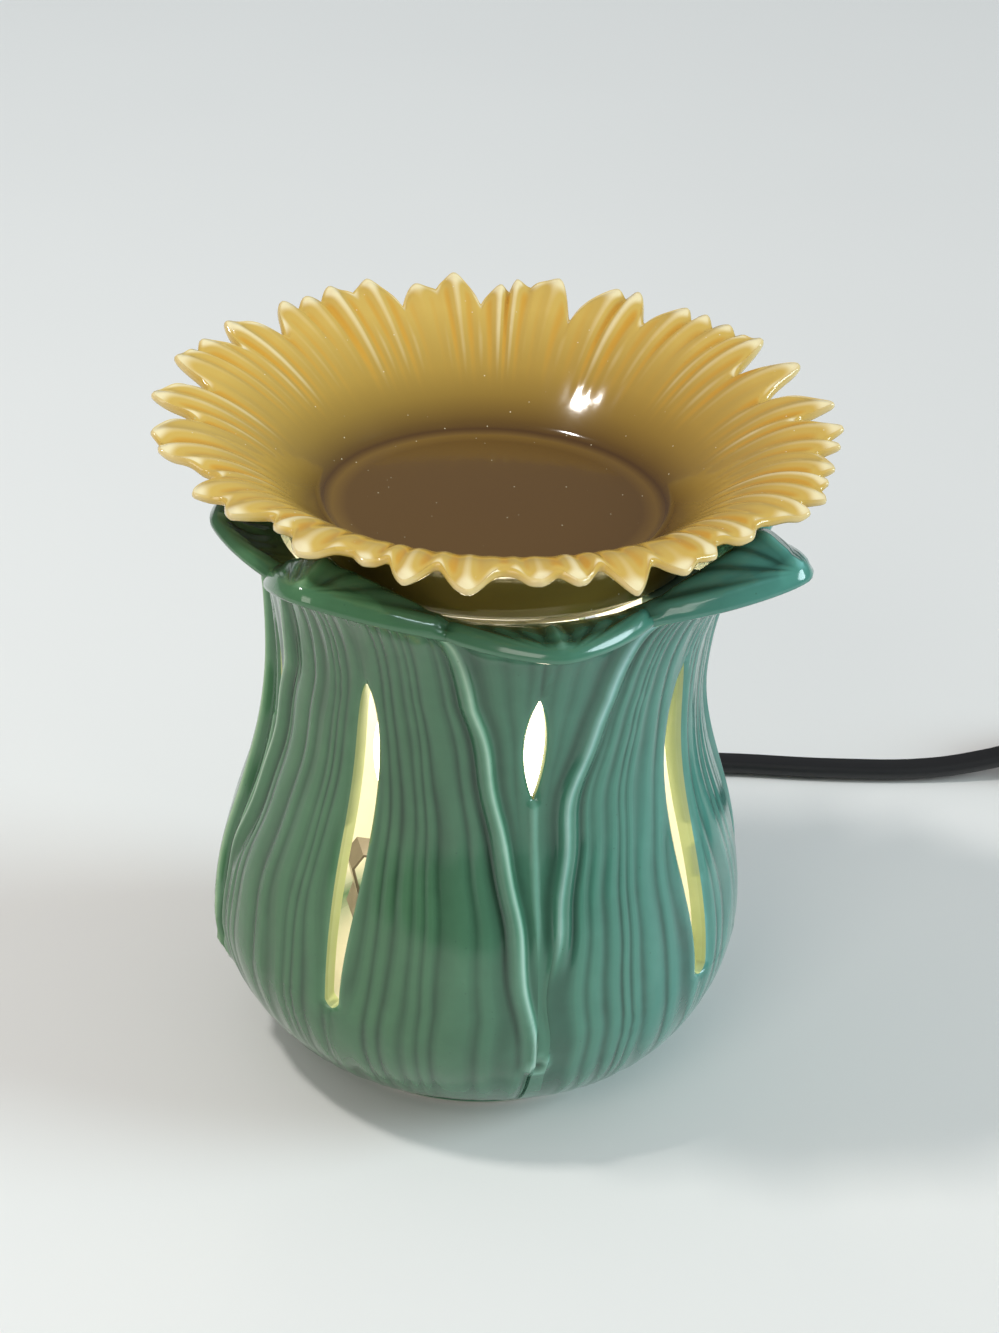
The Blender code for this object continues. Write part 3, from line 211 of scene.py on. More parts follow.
def turnProfile(profile, steps, closed):  # profile of (radius, height) in mm
    bm = bmesh.new()
    spinLine(bm, [bm.verts.new((r * mm, 0, z * mm)) for r, z in profile], steps, closed)
    return bm


# camera, from the photograph's vanishing and the dish's ellipse

viewpoint = dict(place=(-0.1549, -0.6313, 0.4514), yaw=14.03, pitch=28.77, roll=2.69,
                 lens=89.12, sensor=36.0, near=0.01, far=50)


def aimCamera():
    yaw, pitch, roll = (radians(viewpoint[k]) for k in ("yaw", "pitch", "roll"))
    ahead = Vector((sin(yaw) * cos(pitch), cos(yaw) * cos(pitch), -sin(pitch)))
    level = Vector((cos(yaw), -sin(yaw), 0))
    upward = level.cross(ahead)
    right = cos(roll) * level + sin(roll) * upward
    above = -sin(roll) * level + cos(roll) * upward
    camera = bpy.data.objects.new("photoCamera", bpy.data.cameras.new("photoCamera"))
    camera.data.sensor_width = viewpoint["sensor"]
    camera.data.lens = viewpoint["lens"]
    turn = Matrix((right, above, -ahead)).transposed().to_4x4()
    camera.matrix_world = Matrix.Translation(viewpoint["place"]) @ turn
    camera.data.clip_start, camera.data.clip_end = viewpoint["near"], viewpoint["far"]
    bpy.context.collection.objects.link(camera)
    bpy.context.scene.camera = camera


aimCamera()
print("camera set")


# floor and light

studio = dict(floor=(0.80, 0.79, 0.77), floorDim=0.97, floorZ=-0.0003, size=9.0,
              sky=0.46, skyGloss=0.14, skyColour=(0.96, 0.97, 1.0))
skyRight = dict(place=(0.90, -0.28, 0.42), strength=2.1, angle=28.0, colour=(0.74, 0.93, 1.0))
softboxes = (  # name, place, aim, size, watts, colour
    ("boxTop", (-0.62, 0.0, 1.30), (0, 0, 0.13), (0.17, 0.10), 7.0, (1.0, 0.98, 0.95)),
    ("boxLeft", (-0.8, -1.1, 0.9), (0, 0, 0.10), (0.6, 0.9), 5.5, (1.0, 0.96, 0.88)),
)


def lightWorld():  # dimmer in the glaze's reflections than on the pieces
    world = bpy.data.worlds.new("studio")
    world.use_nodes = True
    nodes, links = world.node_tree.nodes, world.node_tree.links
    nodes["Background"].inputs["Color"].default_value = (*studio["skyColour"], 1.0)
    path, dim = nodes.new("ShaderNodeLightPath"), nodes.new("ShaderNodeMapRange")
    dim.inputs["To Min"].default_value = studio["sky"]
    dim.inputs["To Max"].default_value = studio["skyGloss"]
    links.new(path.outputs["Is Glossy Ray"], dim.inputs["Value"])
    links.new(dim.outputs["Result"], nodes["Background"].inputs["Strength"])
    bpy.context.scene.world = world


def hangLight(light, place, aim):
    holder = bpy.data.objects.new(light.name, light)
    holder.location = place
    holder.rotation_euler = (Vector(aim) - Vector(place)).to_track_quat("-Z", "Y").to_euler()
    bpy.context.collection.objects.link(holder)


def lightObject():
    sky = bpy.data.lights.new("skyRight", "SUN")
    sky.energy, sky.color, sky.angle = skyRight["strength"], skyRight["colour"], radians(skyRight["angle"])
    hangLight(sky, skyRight["place"], (0, 0, 0))
    for name, place, aim, size, watts, colour in softboxes:
        box = bpy.data.lights.new(name, "AREA")
        box.shape, box.size, box.size_y = "RECTANGLE", *size
        box.energy, box.color = watts, colour
        hangLight(box, place, aim)


def layFloor():
    bm = bmesh.new()
    bmesh.ops.create_grid(bm, x_segments=2, y_segments=2, size=studio["size"] / 2)
    mesh = bpy.data.meshes.new("paleFloor")
    bm.to_mesh(mesh)
    bm.free()
    paint = Paint("paleFloor", {"Roughness": 0.7, "Specular IOR Level": 0.2})
    dim = [studio["floorDim"] * c for c in studio["floor"]]
    paint.feed(Base_Color=paint.mix(paint.noise(6.0), studio["floor"], dim))
    mesh.materials.append(paint.mat)
    ground = bpy.data.objects.new("paleFloor", mesh)
    ground.location.z = studio["floorZ"]
    bpy.context.collection.objects.link(ground)


bpy.context.scene.view_settings.view_transform = "Standard"
lightWorld()
lightObject()
layFloor()
print("floor and lights set")


# finishes

def greenGlaze():
    paint = Paint("greenGlaze", {"Coat Weight": 0.25, "Coat Roughness": 0.03, "IOR": 1.5})
    vein = paint.value("vein") + 0.20 * (paint.noise(55.0) - 0.5)
    strength = paint.noise(1.9, 0.0, paint.node("ShaderNodeCombineXYZ", {}, {0: vein})) + paint.noise(22.0)
    lines = (0.5 + 0.5 * (tau * vein).math("COSINE")) ** 2.2
    hairs = (0.5 + 0.5 * (tau * (2 * vein + 0.5)).math("COSINE")) ** 4.0
    lines = paint.value("veined") * (lines * (1.5 * strength - 0.6) + 0.30 * hairs * (1.4 - strength))
    uneven = 0.16 * (paint.noise(160.0, 3.0) - 0.5) + 0.14 * (paint.noise(28.0) - 0.5)
    # the crest value carries the glaze's tone and also the rims' painted highlight and painted shade
    glaze = paint.ramp(paint.value("crest") + uneven - 0.32 * lines, [
        (0.0, (0.014, 0.050, 0.028)), (0.30, (0.044, 0.130, 0.078)), (0.55, (0.068, 0.192, 0.117)),
        (0.80, (0.160, 0.340, 0.240)), (1.0, (0.34, 0.53, 0.42))])
    # painted light: the glaze colour is tinted by X position to stand in for a cool light from the right
    paintedLightSide = paint.between(paint.along("X"), -0.040, 0.050)
    paintedLightTint = paint.mix(paintedLightSide, (0.95, 0.88, 0.66), (1.08, 1.32, 1.75))  # painted light: warm on the left, cool on the right, as if lit by a cool light from the right
    glaze = paint.mix(1.0, glaze, paintedLightTint, "MULTIPLY")
    pits = 0.55 + 0.45 * paint.between(paint.specks(300.0), 0.03, 0.08)
    glaze = paint.mix(pits, (0.04, 0.10, 0.065), glaze)
    bisque = paint.mix(paint.noise(240.0, 4.0), (0.72, 0.71, 0.62), (0.79, 0.78, 0.70))
    bare = paint.value("bare")
    # the slits' cut faces: the glaze's own yellow-green tint, made lighter as painted lamp light on the slit
    # walls
    cut = paint.mix(paint.noise(130.0, 3.0), (0.43, 0.50, 0.23), (0.51, 0.57, 0.30))
    paint.feed(Base_Color=paint.mix(paint.value("cut"), paint.mix(bare, glaze, bisque), cut),
               Roughness=0.10 + 0.06 * paint.noise(90.0) + 0.5 * bare,
               Normal=paint.bump(0.10 * paint.noise(210.0, 2.0) - lines, 0.35, 0.0004))
    return paint.mat


def amberGlaze():
    paint = Paint("amberGlaze", {"Coat Weight": 0.3, "Coat Roughness": 0.03, "IOR": 1.5})
    flat = paint.node("ShaderNodeVectorMath", {"operation": "MULTIPLY"}, {0: paint.place(), 1: (1, 1, 0)})
    reach = paint.node("ShaderNodeVectorMath", {"operation": "LENGTH"}, {0: flat}, "Value")
    mottle = paint.noise(120.0, 3.0) - 0.5
    rampSpan = 0.08  # radius in m at the end of the ramp
    # darker towards the dish's floor, with a lighter band and then a painted shadow ring round the floor's
    # edge
    floorToneAndRingShade = paint.ramp(reach / rampSpan + 0.006 * mottle, [
        (0.0, (0.118, 0.060, 0.016)), (0.405, (0.124, 0.064, 0.016)), (0.445, (0.185, 0.102, 0.021)),
        (0.472, (0.082, 0.040, 0.013)), (0.505, (0.180, 0.103, 0.022)), (0.55, (0.295, 0.180, 0.034)),
        (0.62, (0.43, 0.270, 0.052)), (0.80, (0.60, 0.40, 0.092))])
    crest = paint.value("crest") + 0.12 * mottle
    grooves = paint.mix(paint.between(crest, 0.05, 0.42), (0.60, 0.315, 0.040), floorToneAndRingShade)
    grooves = paint.mix(paint.value("slope"), floorToneAndRingShade, grooves)
    cream = paint.mix(paint.between(crest, 0.56, 1.06) * paint.value("slope"), grooves, (0.85, 0.73, 0.44))
    # the underside: thick amber glaze, darkened by painted shade and tinted olive by a painted reflection of
    # the green body
    underGlazeShadeReflection = paint.mix(paint.noise(40.0), (0.190, 0.138, 0.026), (0.25, 0.180, 0.038))
    pits = paint.between(paint.specks(300.0), 0.03, 0.06)
    colour = paint.mix(paint.value("under"), cream, underGlazeShadeReflection)
    paint.feed(Base_Color=paint.mix(pits, (0.75, 0.66, 0.45), colour),
               Roughness=0.09 + 0.05 * paint.noise(70.0),
               Normal=paint.bump(paint.noise(180.0, 2.0), 0.08, 0.0004))
    return paint.mat


def plainFinish(name, colour, roughness, metallic=0.0, grain=400.0, wear=0.12):
    paint = Paint(name, {"Metallic": metallic})
    spread = paint.noise(grain, 3.0)
    dark = [c * (1 - wear) for c in colour]
    light = [min(1.0, c * (1 + wear)) for c in colour]
    paint.feed(Base_Color=paint.mix(spread, dark, light),
               Roughness=roughness * (0.8 + 0.4 * paint.noise(grain / 6)),
               Normal=paint.bump(spread, 0.12, 0.0002))
    return paint.mat


def lampGlow():
    paint = Paint("lampGlow", {"Roughness": 0.2, "Emission Strength": 8.0})
    heart = paint.along("Z")
    bright = paint.between(heart, 0.046, 0.066) * (1 - 0.6 * paint.between(heart, 0.080, 0.096))
    paint.feed(Base_Color=paint.mix(bright, (0.8, 0.74, 0.6), (0.95, 0.9, 0.78)),
               Emission_Color=paint.mix(bright, (0.60, 0.46, 0.25), (1.0, 0.92, 0.72)))
    return paint.mat


finishes = dict(
    green=greenGlaze(), amber=amberGlaze(), glow=lampGlow(),
    phenolic=plainFinish("blackPhenolic", (0.022, 0.021, 0.020), 0.38),
    brass=plainFinish("brassMetal", (0.70, 0.50, 0.20), 0.30, 1.0),
    steel=plainFinish("springSteel", (0.56, 0.54, 0.50), 0.28, 1.0, 250.0),
    wire=plainFinish("clipWire", (0.17, 0.15, 0.13), 0.30, 1.0, 250.0),
    solder=plainFinish("solderMetal", (0.58, 0.58, 0.57), 0.42, 1.0),
    aluminium=plainFinish("pressedAluminium", (0.76, 0.76, 0.75), 0.30, 1.0),
    insulator=plainFinish("blackGlass", (0.012, 0.012, 0.014), 0.10),
    tungsten=plainFinish("tungstenWire", (0.36, 0.34, 0.32), 0.4, 1.0),
    cord=plainFinish("cordJacket", (0.014, 0.014, 0.015), 0.42, 0.0, 300.0),
    rubber=plainFinish("blackRubber", (0.017, 0.017, 0.017), 0.55),
    tie=plainFinish("tieBand", (0.030, 0.030, 0.031), 0.62, 0.0, 700.0),
    plastic=plainFinish("switchPlastic", (0.018, 0.018, 0.019), 0.38, 0.0, 900.0),
    wheel=plainFinish("wheelPlastic", (0.024, 0.024, 0.025), 0.48, 0.0, 900.0),
)
print("finishes made")


# leaf body

leafBody = dict(
    footR=36.4, footH=4.5, footRing=5.4, footRound=0.9, recessH=8.0,
    floorTop=12.5, floorEdge=44.2, floorMid=30.0, holeR=19.4, lowRows=(27.0, 20.0, 14.5),
    wall=4.5, bellyR=60.5, bellyZ=36.0, neckR=48.7, seatZ=129.7, neckDrop=34.0,
    lipDrop=18.0, lipFlare=1.3, lipEdge=3.0, lipSwell=0.8, lipVeins=4.0,
    lipRows=16, lipEnd=0.96, topRows=22, topStart=0.16,
    edges=((16.2, 0.4), (27.1, 9.2), (14.9, 2.0), (25.9, 12.0),  # reach and rise of each leaf's tip
           (16.1, 1.0), (25.4, 12.0), (12.5, 3.6), (25.8, 11.8)),
    bends=((5.8, -1.2), (12.0, 12.2)), crests=((6.1, 3.4), (15.3, 17.6)),
    notchEdge=(7.6, 0.6), notchBend=(5.0, -0.9), notchCrest=(4.1, 4.0),
    mouthR=49.4, mouthIn=1.0, mouthRise=1.3, throatDrop=14.2,
    splitTop=22.5, splitLow=2.8, splitZ=50.0,
    slitZ=35.0, slitHalf=3.4, slitEase=9.0, windowH=24.0, windowHalf=2.6,
    columns=448, innerCells=16, windowCells=3, rimCells=14, rimStep=0.42, slitCells=4, slitStep=1.3,
    veins=9, innerVeins=3, veinDepth=0.30,
    cordNotch=dict(half=5.4, top=7.3, inside=0.2, outside=0.6, behind=20.0, within=46.0))
lb = leafBody
lipZ = lb["seatZ"] - lb["lipDrop"]
neckZ = lb["seatZ"] - lb["neckDrop"]
windowZ = lipZ - lb["windowH"]
eighth = lb["columns"] // 8
reliefZ = dict(  # heights between which each form fades in
    rimLeft=(23.0, 27.0), rimRight=(46.0, 60.0), rimTurn=(26.0, 58.0), recess=(28.0, 46.0),
    recessFull=(50.0, 74.0), veins=(5.0, 14.0), midrib=(50.0, 62.0), seam=(22.0, 30.0))
reliefPool = dict(x=1.0, z=26.5, radius=2.3)  # the drop of glaze where the left rim ends
reliefDepth = dict(roll=1.05, trough=-0.45, recess=-1.6, midrib=0.6, drop=0.6, pit=-0.6,
                   seam=-0.5, blunt=-0.85)
# these colour weights include a painted highlight along each rim bead's inner edge, and painted shade on the
# leaf beside the rim and in the recess
reliefCrest = dict(roll=0.08, paintedShine=0.42, trough=-0.34, paintedShade=-0.26, seam=-0.30, blunt=0.16,
                   midrib=0.32, drop=0.34, pit=-0.40, recess=-0.06)
lipDepth = dict(roll=0.40, groove=-0.36, rib=0.60, notch=-0.80)
lipCrest = dict(roll=0.24, groove=-0.14, rib=0.34, notch=-0.26)
leastRim = 0.8  # mm from the middle line to a rim
leastSlit = 0.25  # mm, the hair at a slit's ends


def wallRadius(z):
    if z < lb["bellyZ"]:
        share = max(0.0, (z - lb["footH"]) / (lb["bellyZ"] - lb["footH"]))
        return lb["footR"] + (lb["bellyR"] - lb["footR"]) * (1 - (1 - share) ** 1.8) ** (1 / 1.8)
    if z < neckZ:
        share = (z - lb["bellyZ"]) / (neckZ - lb["bellyZ"])
        return lb["neckR"] + (lb["bellyR"] - lb["neckR"]) * (1 + cos(pi * share)) / 2
    return lb["neckR"] + lb["lipFlare"] * ((min(z, lipZ) - neckZ) / (lipZ - neckZ)) ** 2


def wallLean(z):  # growth of the radius with height
    return (wallRadius(z + 0.3) - wallRadius(z - 0.3)) / 0.6


def offWall(z, height):  # radius and height of a point over the wall
    lean = wallLean(z)
    norm = hypot(1, lean)
    return wallRadius(z) + height / norm, z - height * lean / norm


def leafSplit(z):
    share = clamp((z - lb["splitZ"]) / (lb["seatZ"] - lb["splitZ"]))
    return radians(lb["splitLow"] + (lb["splitTop"] - lb["splitLow"]) * share ** 1.6)


def slitHalf(z, index):  # half width in mm, a hair at both ends
    long = index % 2 == 1
    low, half = (lb["slitZ"], lb["slitHalf"]) if long else (windowZ, lb["windowHalf"])
    share = clamp((z - low) / (lipZ - low))
    if not long:
        return max(leastSlit, half * sin(pi * share) ** 0.75)
    sharp = {7: 9.0, 1: 6.0}.get(index, 3.4)  # the front slits are blunt above
    wide = (0.56 + 0.44 * softStep(share, 0.0, 0.5)) * (1.25 if index == 1 else 1.0)
    wide *= min(1.0, share / 0.022) ** 0.5 * (1 - share ** sharp) ** 0.75
    return max(leastSlit, half * wide)


def rimTurn(z, quarter, side):  # where an outer leaf's rim runs, from the inner leaf's middle line
    split = leafSplit(z)
    if side < 0:  # the left rim runs on down to the middle line
        split -= radians(4.0) * (1 - softStep(z, *reliefZ["rimTurn"]))
    wave = 0.62 * sin(z / 7.3 + quarter * 1.9 + 2 * side) + 0.42 * sin(z / 3.4 + quarter + side)
    wave *= (1.0 if side > 0 else 0.6) * (1 - softStep(z, lipZ - 6.0, lipZ + 2.0))
    return split - wave / wallRadius(z)


def slitReach(z, index, plain):  # half width of a slit or window, eased to a plain width beyond its ends
    away = max(0.0, (lb["slitZ"] if index % 2 else windowZ) - z, z - lipZ)
    half = slitHalf(z, index % 8) / wallRadius(z)
    return half + (plain - half) * softStep(away, 0.0, lb["slitEase"]), away


def slitPlace(column, z):  # azimuth of a grid column, which follows rims and slits, and mm to a slit's edge
    quarter = round(column / (2 * eighth))
    count, side = abs(column - quarter * 2 * eighth), 1 if column > quarter * 2 * eighth else -1
    radius = wallRadius(z)
    rim = max(leastRim / radius, rimTurn(z, quarter, side))
    bead = rim + lb["rimCells"] * lb["rimStep"] / radius
    window, overWindow = slitReach(z, 2 * quarter, rim * lb["windowCells"] / lb["innerCells"])
    slit, overSlit = slitReach(z, 2 * quarter + side, lb["slitCells"] * lb["slitStep"] / radius)
    stops = ((0, 0.0), (lb["windowCells"], window), (lb["innerCells"], rim),
             (lb["innerCells"] + lb["rimCells"], bead), (eighth - lb["slitCells"], pi / 4 - slit),
             (eighth, pi / 4))
    for (low, start), (high, end) in zip(stops, stops[1:]):
        if count <= high:
            break
    share = (count - low) / (high - low)
    if end == rim:
        share = 1 - (1 - share) ** 1.5
    turn = start + (end - start) * share
    toWindow = hypot(max(0.0, turn - window) * radius, overWindow)
    toSlit = hypot(max(0.0, pi / 4 - slit - turn) * radius, overSlit)
    return quarter * pi / 2 + side * turn, min(toWindow, toSlit)


def leafVein(turn, z, rim, quarter, side):  # a count of veins across the leaf, whole in the bottom of each
    if abs(turn) < rim:
        return lb["veins"] + 0.5 + lb["innerVeins"] * (1 - abs(turn) / rim)
    outward = (pi / 4 - abs(turn)) / (pi / 4 - rim)
    drift = 0.40 * sin(z / 14.0 + quarter * 1.7 + side * 0.8) + 0.16 * sin(z / 6.1 + quarter * 2.3)
    uneven = 0.050 * sin(9 * outward + quarter + side) + 0.022 * sin(23 * outward + 2 * quarter)
    return lb["veins"] * (outward + uneven) + 0.5 + drift * (1 - outward)


def leafRelief(angle, z, edge):  # mm over the turned wall, how far up the crests, and the veins
    quarter = round(angle / (pi / 2))
    turn = angle - quarter * pi / 2
    side = 1 if turn > 0 else -1
    radius, split = wallRadius(z), rimTurn(z, quarter, side)
    across = (abs(turn) - split) * radius
    middle, fromSlit = turn * radius, (abs(turn) - pi / 4) * radius
    rim = softStep(z, *reliefZ["rimLeft" if turn <= 0 else "rimRight"])
    recess = (1 - softStep(across, -1.0, 0.5)) * softStep(z, *reliefZ["recess"])
    recess *= 0.5 + 0.5 * softStep(z, *reliefZ["recessFull"])
    vein = leafVein(turn, z, max(leastRim / radius, split), quarter, side)
    veined = softStep(z, *reliefZ["veins"]) * (1 - bell(edge, 1.8)) * (1 - rim * bell(across, 3.6))
    veined *= 1 - bell(fromSlit, 1.2)
    if across < 0:
        veined *= 0.7 * softStep(split * radius, 4.0, 9.0) * (1 - bell(middle, 1.5))
    midrib = bell(middle, 1.1) * softStep(z, *reliefZ["midrib"])
    midrib *= 1 - softStep(z, windowZ - 2.0, windowZ + 1.0)
    underSlit = (1 - softStep(z, lb["slitZ"] - 1.0, lb["slitZ"])) * softStep(z, *reliefZ["seam"])
    seam = bell(middle, 0.7) * softStep(z, lipZ - 1.0, lipZ + 2.0) + 0.6 * bell(fromSlit, 0.8) * underSlit
    seam += 0.7 * bell(fromSlit, 0.8) * softStep(z, lipZ, lipZ + 2.0)
    pool = hypot(middle - reliefPool["x"], z - reliefPool["z"])
    # the rim's inner edge gets a painted highlight, the inner leaf next to the rim and the recess get painted
    # shade
    parts = dict(
        roll=rim * softStep(across, -0.3, 1.0) * (1 - softStep(across, 2.0, 4.2)),
        paintedShine=rim * bell(across - 0.8, 0.7), trough=rim * bell(across - 4.4, 0.8),
        paintedShade=rim * bell(across + 1.4, 1.3), recess=recess, midrib=midrib, seam=seam,
        drop=bell(pool - reliefPool["radius"], 0.9), pit=bell(pool, 1.1), blunt=bell(edge, 0.75))
    height = weigh(reliefDepth, parts) - lb["veinDepth"] * veined * (0.5 + 0.5 * cos(tau * vein)) ** 1.5
    height += 0.22 * sin(3 * angle + z / 17.0) + 0.16 * sin(5 * angle - z / 11.0)  # hand-made unevenness
    return height, clamp(0.52 + weigh(reliefCrest, parts)), vein, veined


def leafAcross(angle, z):  # which leaf an azimuth is on, how far from its middle, and the turn from it
    quarter = round(angle / (pi / 2))
    turn = angle - quarter * pi / 2
    split = leafSplit(z)
    if abs(turn) < split:
        return 2 * quarter % 8, abs(turn) / split, turn
    side = 1 if turn > 0 else -1
    turn -= side * pi / 4
    return (2 * quarter + side) % 8, abs(turn) / (pi / 4 - split), turn


def lipForm(forms, notch, index, across):  # radius and height of the lip between a notch and a leaf's tip
    blunt = 0.10 if index % 2 else 0.04
    bump = 1 - max(0.0, hypot(across, blunt) - blunt * (1 - across)) ** 1.15
    reach, rise = (low + bump * (high - low) for low, high in zip(notch, forms[index % len(forms)]))
    return lb["neckR"] + reach, lb["seatZ"] + rise


def lipOutside(angle, share):  # a point of the lip's outside and the way it runs
    index, across, _ = leafAcross(angle, lipZ + share * lb["lipDrop"])
    start = (wallRadius(lipZ), lipZ)
    pull = 0.6 * lb["lipDrop"]
    rise = (start[0] + 2 * lb["lipFlare"] / (lipZ - neckZ) * pull, lipZ + pull)
    hull = (start, rise, lipForm(lb["bends"], lb["notchBend"], index, across),
            lipForm(lb["edges"], lb["notchEdge"], index, across))
    rest = 1 - share
    weights = (rest ** 3, 3 * rest ** 2 * share, 3 * rest * share ** 2, share ** 3)
    slopes = (-3 * rest ** 2, 3 * rest ** 2 - 6 * rest * share,
              6 * rest * share - 3 * share ** 2, 3 * share ** 2)
    point = [sum(w * p for w, p in zip(weights, line)) for line in zip(*hull)]
    along = [sum(w * p for w, p in zip(slopes, line)) for line in zip(*hull)]
    return point, [a / hypot(*along) for a in along]


def mouthRadius(angle):  # narrower on the left, where no light comes up past the dish
    return lb["mouthR"] - lb["mouthIn"] * (1 - sin(angle))


def lipSpots(angle):  # the lip's upper side from its edge over its crest to the mouth
    index, across, turn = leafAcross(angle, lb["seatZ"])
    edgeR, edgeZ = lipForm(lb["edges"], lb["notchEdge"], index, across)
    edge = (edgeR + 0.2 * lb["lipEdge"], edgeZ + lb["lipEdge"])
    crest = lipForm(lb["crests"], lb["notchCrest"], index, across)
    mouth = (mouthRadius(angle), lb["seatZ"] + lb["mouthRise"])
    brow = ((edge[0] + crest[0]) / 2, (edge[1] + crest[1]) / 2 + lb["lipSwell"])
    slope = ((mouth[0] + crest[0]) / 2, (mouth[1] + crest[1]) / 2)
    return (edge, brow, crest, slope, mouth), (edgeR, edgeZ), index, across, turn


def alongSpots(spots, share):  # a smooth line through the spots, and the way it runs
    first = min(len(spots) - 2, int(share))
    t = share - first
    hull = [spots[min(len(spots) - 1, max(0, first + k))] for k in (-1, 0, 1, 2)]
    point = [0.5 * (2 * b + (c - a) * t + (2 * a - 5 * b + 4 * c - d) * t * t
                    + (3 * b - a - 3 * c + d) * t ** 3) for a, b, c, d in zip(*hull)]
    along = [0.5 * ((c - a) + 2 * (2 * a - 5 * b + 4 * c - d) * t + 3 * (3 * b - a - 3 * c + d) * t * t)
             for a, b, c, d in zip(*hull)]
    return point, [a / hypot(*along) for a in along]


def lipVein(index, across, radius):  # veins that run out to the leaf's tip
    notch = lb["neckR"] + lb["notchEdge"][0]
    tip = lb["neckR"] + lb["edges"][index][0] + 2.0
    wide = min(1.0, max(0.08, (tip - radius) / (tip - notch)))
    return lb["lipVeins"] * min(1.2, across / wide) + 0.5


def lipTopRelief(index, across, turn, radius, fromEdge, share):  # border grooves, rolled edge and midrib
    sideways = turn * radius
    fromNotch = (1 - across) * pi / 8 * radius
    edge = min(fromEdge, 0.7 * fromNotch + 1.4)
    fade = 1 - softStep(share, 2.2, 3.4)
    rib = (bell(sideways, 1.1) - 0.5 * bell(abs(sideways) - 2.8, 1.2)) * fade * softStep(fromEdge, 0.0, 3.0)
    parts = dict(roll=bell(edge - 1.4, 1.7), groove=bell(edge - 4.4, 1.1) * fade, rib=rib,
                 notch=bell(fromNotch, 1.5) * fade)
    return weigh(lipDepth, parts), clamp(0.35 + weigh(lipCrest, parts))


def wallHeights():  # rows close together where a slit or window ends
    keys = (lb["slitZ"], windowZ, lipZ)
    heights = []
    for low, high in zip((lb["footH"], *keys), keys):
        z = low
        while z < high - 0.2:
            heights.append(z)
            z += 0.35 + 1.45 * softStep(min(abs(z - k) for k in keys), 0.0, 7.0)
    return heights + [lipZ]


def leafBodyRows():
    heights = wallHeights()
    slitRows = [z for z in heights if z >= lb["slitZ"]]
    innerRing = lb["footR"] - lb["footRing"]
    rows = [("ring", lb["footR"] - lb["footRound"], 0.0), ("ring", lb["footR"] - 0.25, 0.25),
            ("ring", lb["footR"], lb["footRound"]), ("ring", lb["footR"], lb["footH"] - 0.5)]
    rows += [("wall", z) for z in heights]
    rows += [("lipOut", k / lb["lipRows"] * lb["lipEnd"]) for k in range(1, lb["lipRows"] + 1)]
    rows += [("round", radians(a)) for a in (-55, -20, 15, 50)]
    start, count = lb["topStart"], lb["topRows"]
    rows += [("lipTop", start + (4 - start) * k / count) for k in range(count + 1)]
    rows += [("throat", share) for share in (0.04, 0.12, 0.3, 0.55, 0.8)]
    rows += [("inside", z) for z in reversed(slitRows)]
    rows += [("inside", z) for z in lb["lowRows"]]
    rows += [("ring", r, z) for r, z in (
        (lb["floorEdge"], lb["floorTop"]), (lb["floorMid"], lb["floorTop"]), (lb["holeR"], lb["floorTop"]),
        (lb["holeR"], lb["recessH"]), (innerRing, lb["recessH"]), (innerRing, 0.6), (innerRing + 0.6, 0.0))]
    return rows, slitRows


def leafPoint(kind, column):  # radius, height, azimuth, crest, bareness, vein and how veined
    name, first = kind[:2]
    if name == "ring":
        bare = 1.0 if kind[2] < 0.3 or first < lb["footR"] - 1 else 0.0
        return first, kind[2], slitPlace(column, lb["footH"])[0], 0.45, bare, 0.5, 0.0
    if name == "inside":
        return *offWall(first, -lb["wall"]), slitPlace(column, first)[0], 0.4, 1.0, 0.5, 0.0
    if name == "wall":
        angle, edge = slitPlace(column, first)
        height, crest, vein, veined = leafRelief(angle, first, edge)
        return *offWall(first, height), angle, crest, 0.0, vein, veined
    high = lipZ + first * lb["lipDrop"] if name == "lipOut" else lb["seatZ"]
    angle, edge = slitPlace(column, high)
    if name == "lipOut":
        point, along = lipOutside(angle, first)
        height, crest, vein, veined = leafRelief(angle, high, edge)
        height *= 1 - 0.8 * softStep(first, 0.35, 1.0)
        crest = min(1.0, crest + 0.10 * softStep(first, 0.86, 0.97))
        veined *= 1 - softStep(first, 0.6, 0.95)
        return point[0] + height * along[1], point[1] - height * along[0], angle, crest, 0.0, vein, veined
    if name == "throat":
        bore = wallRadius(lipZ) - lb["wall"]
        radius = mouthRadius(angle) + first * (bore - mouthRadius(angle))
        bare = softStep(first, 0.6, 1.0)
        return radius, lb["seatZ"] - first * lb["throatDrop"], angle, 0.30, bare, 0.5, 0.0
    spots, (edgeR, edgeZ), index, across, turn = lipSpots(angle)
    if name == "round":
        half = lb["lipEdge"] / 2
        radius = edgeR - 0.7 + 1.5 * half * cos(first)
        return radius, edgeZ + half + half * sin(first), angle, 0.54, 0.0, 0.5, 0.0
    point, along = alongSpots(spots, first)
    fromEdge = hypot(point[0] - spots[0][0], point[1] - spots[0][1])
    height, crest = lipTopRelief(index, across, turn, point[0], fromEdge, first)
    height *= 1 - softStep(first, 3.0, 4.0)
    veined = (1 - bell(fromEdge, 2.4)) * (1 - softStep(first, 2.8, 3.8)) * softStep(across, 0.04, 0.16)
    vein = lipVein(index, across, point[0])
    return point[0] + height * along[1], point[1] - height * along[0], angle, crest, 0.0, vein, veined


def liftNotch(x, y, radius, z):  # the foot rises over the cord at the rear
    notch = lb["cordNotch"]
    within = notch["half"] + notch["outside"]
    if y > notch["behind"] and abs(x) < within and radius < notch["within"] and z < notch["top"]:
        z += (notch["top"] - z) * (1 - softStep(abs(x), notch["half"] - notch["inside"], within))
    return z


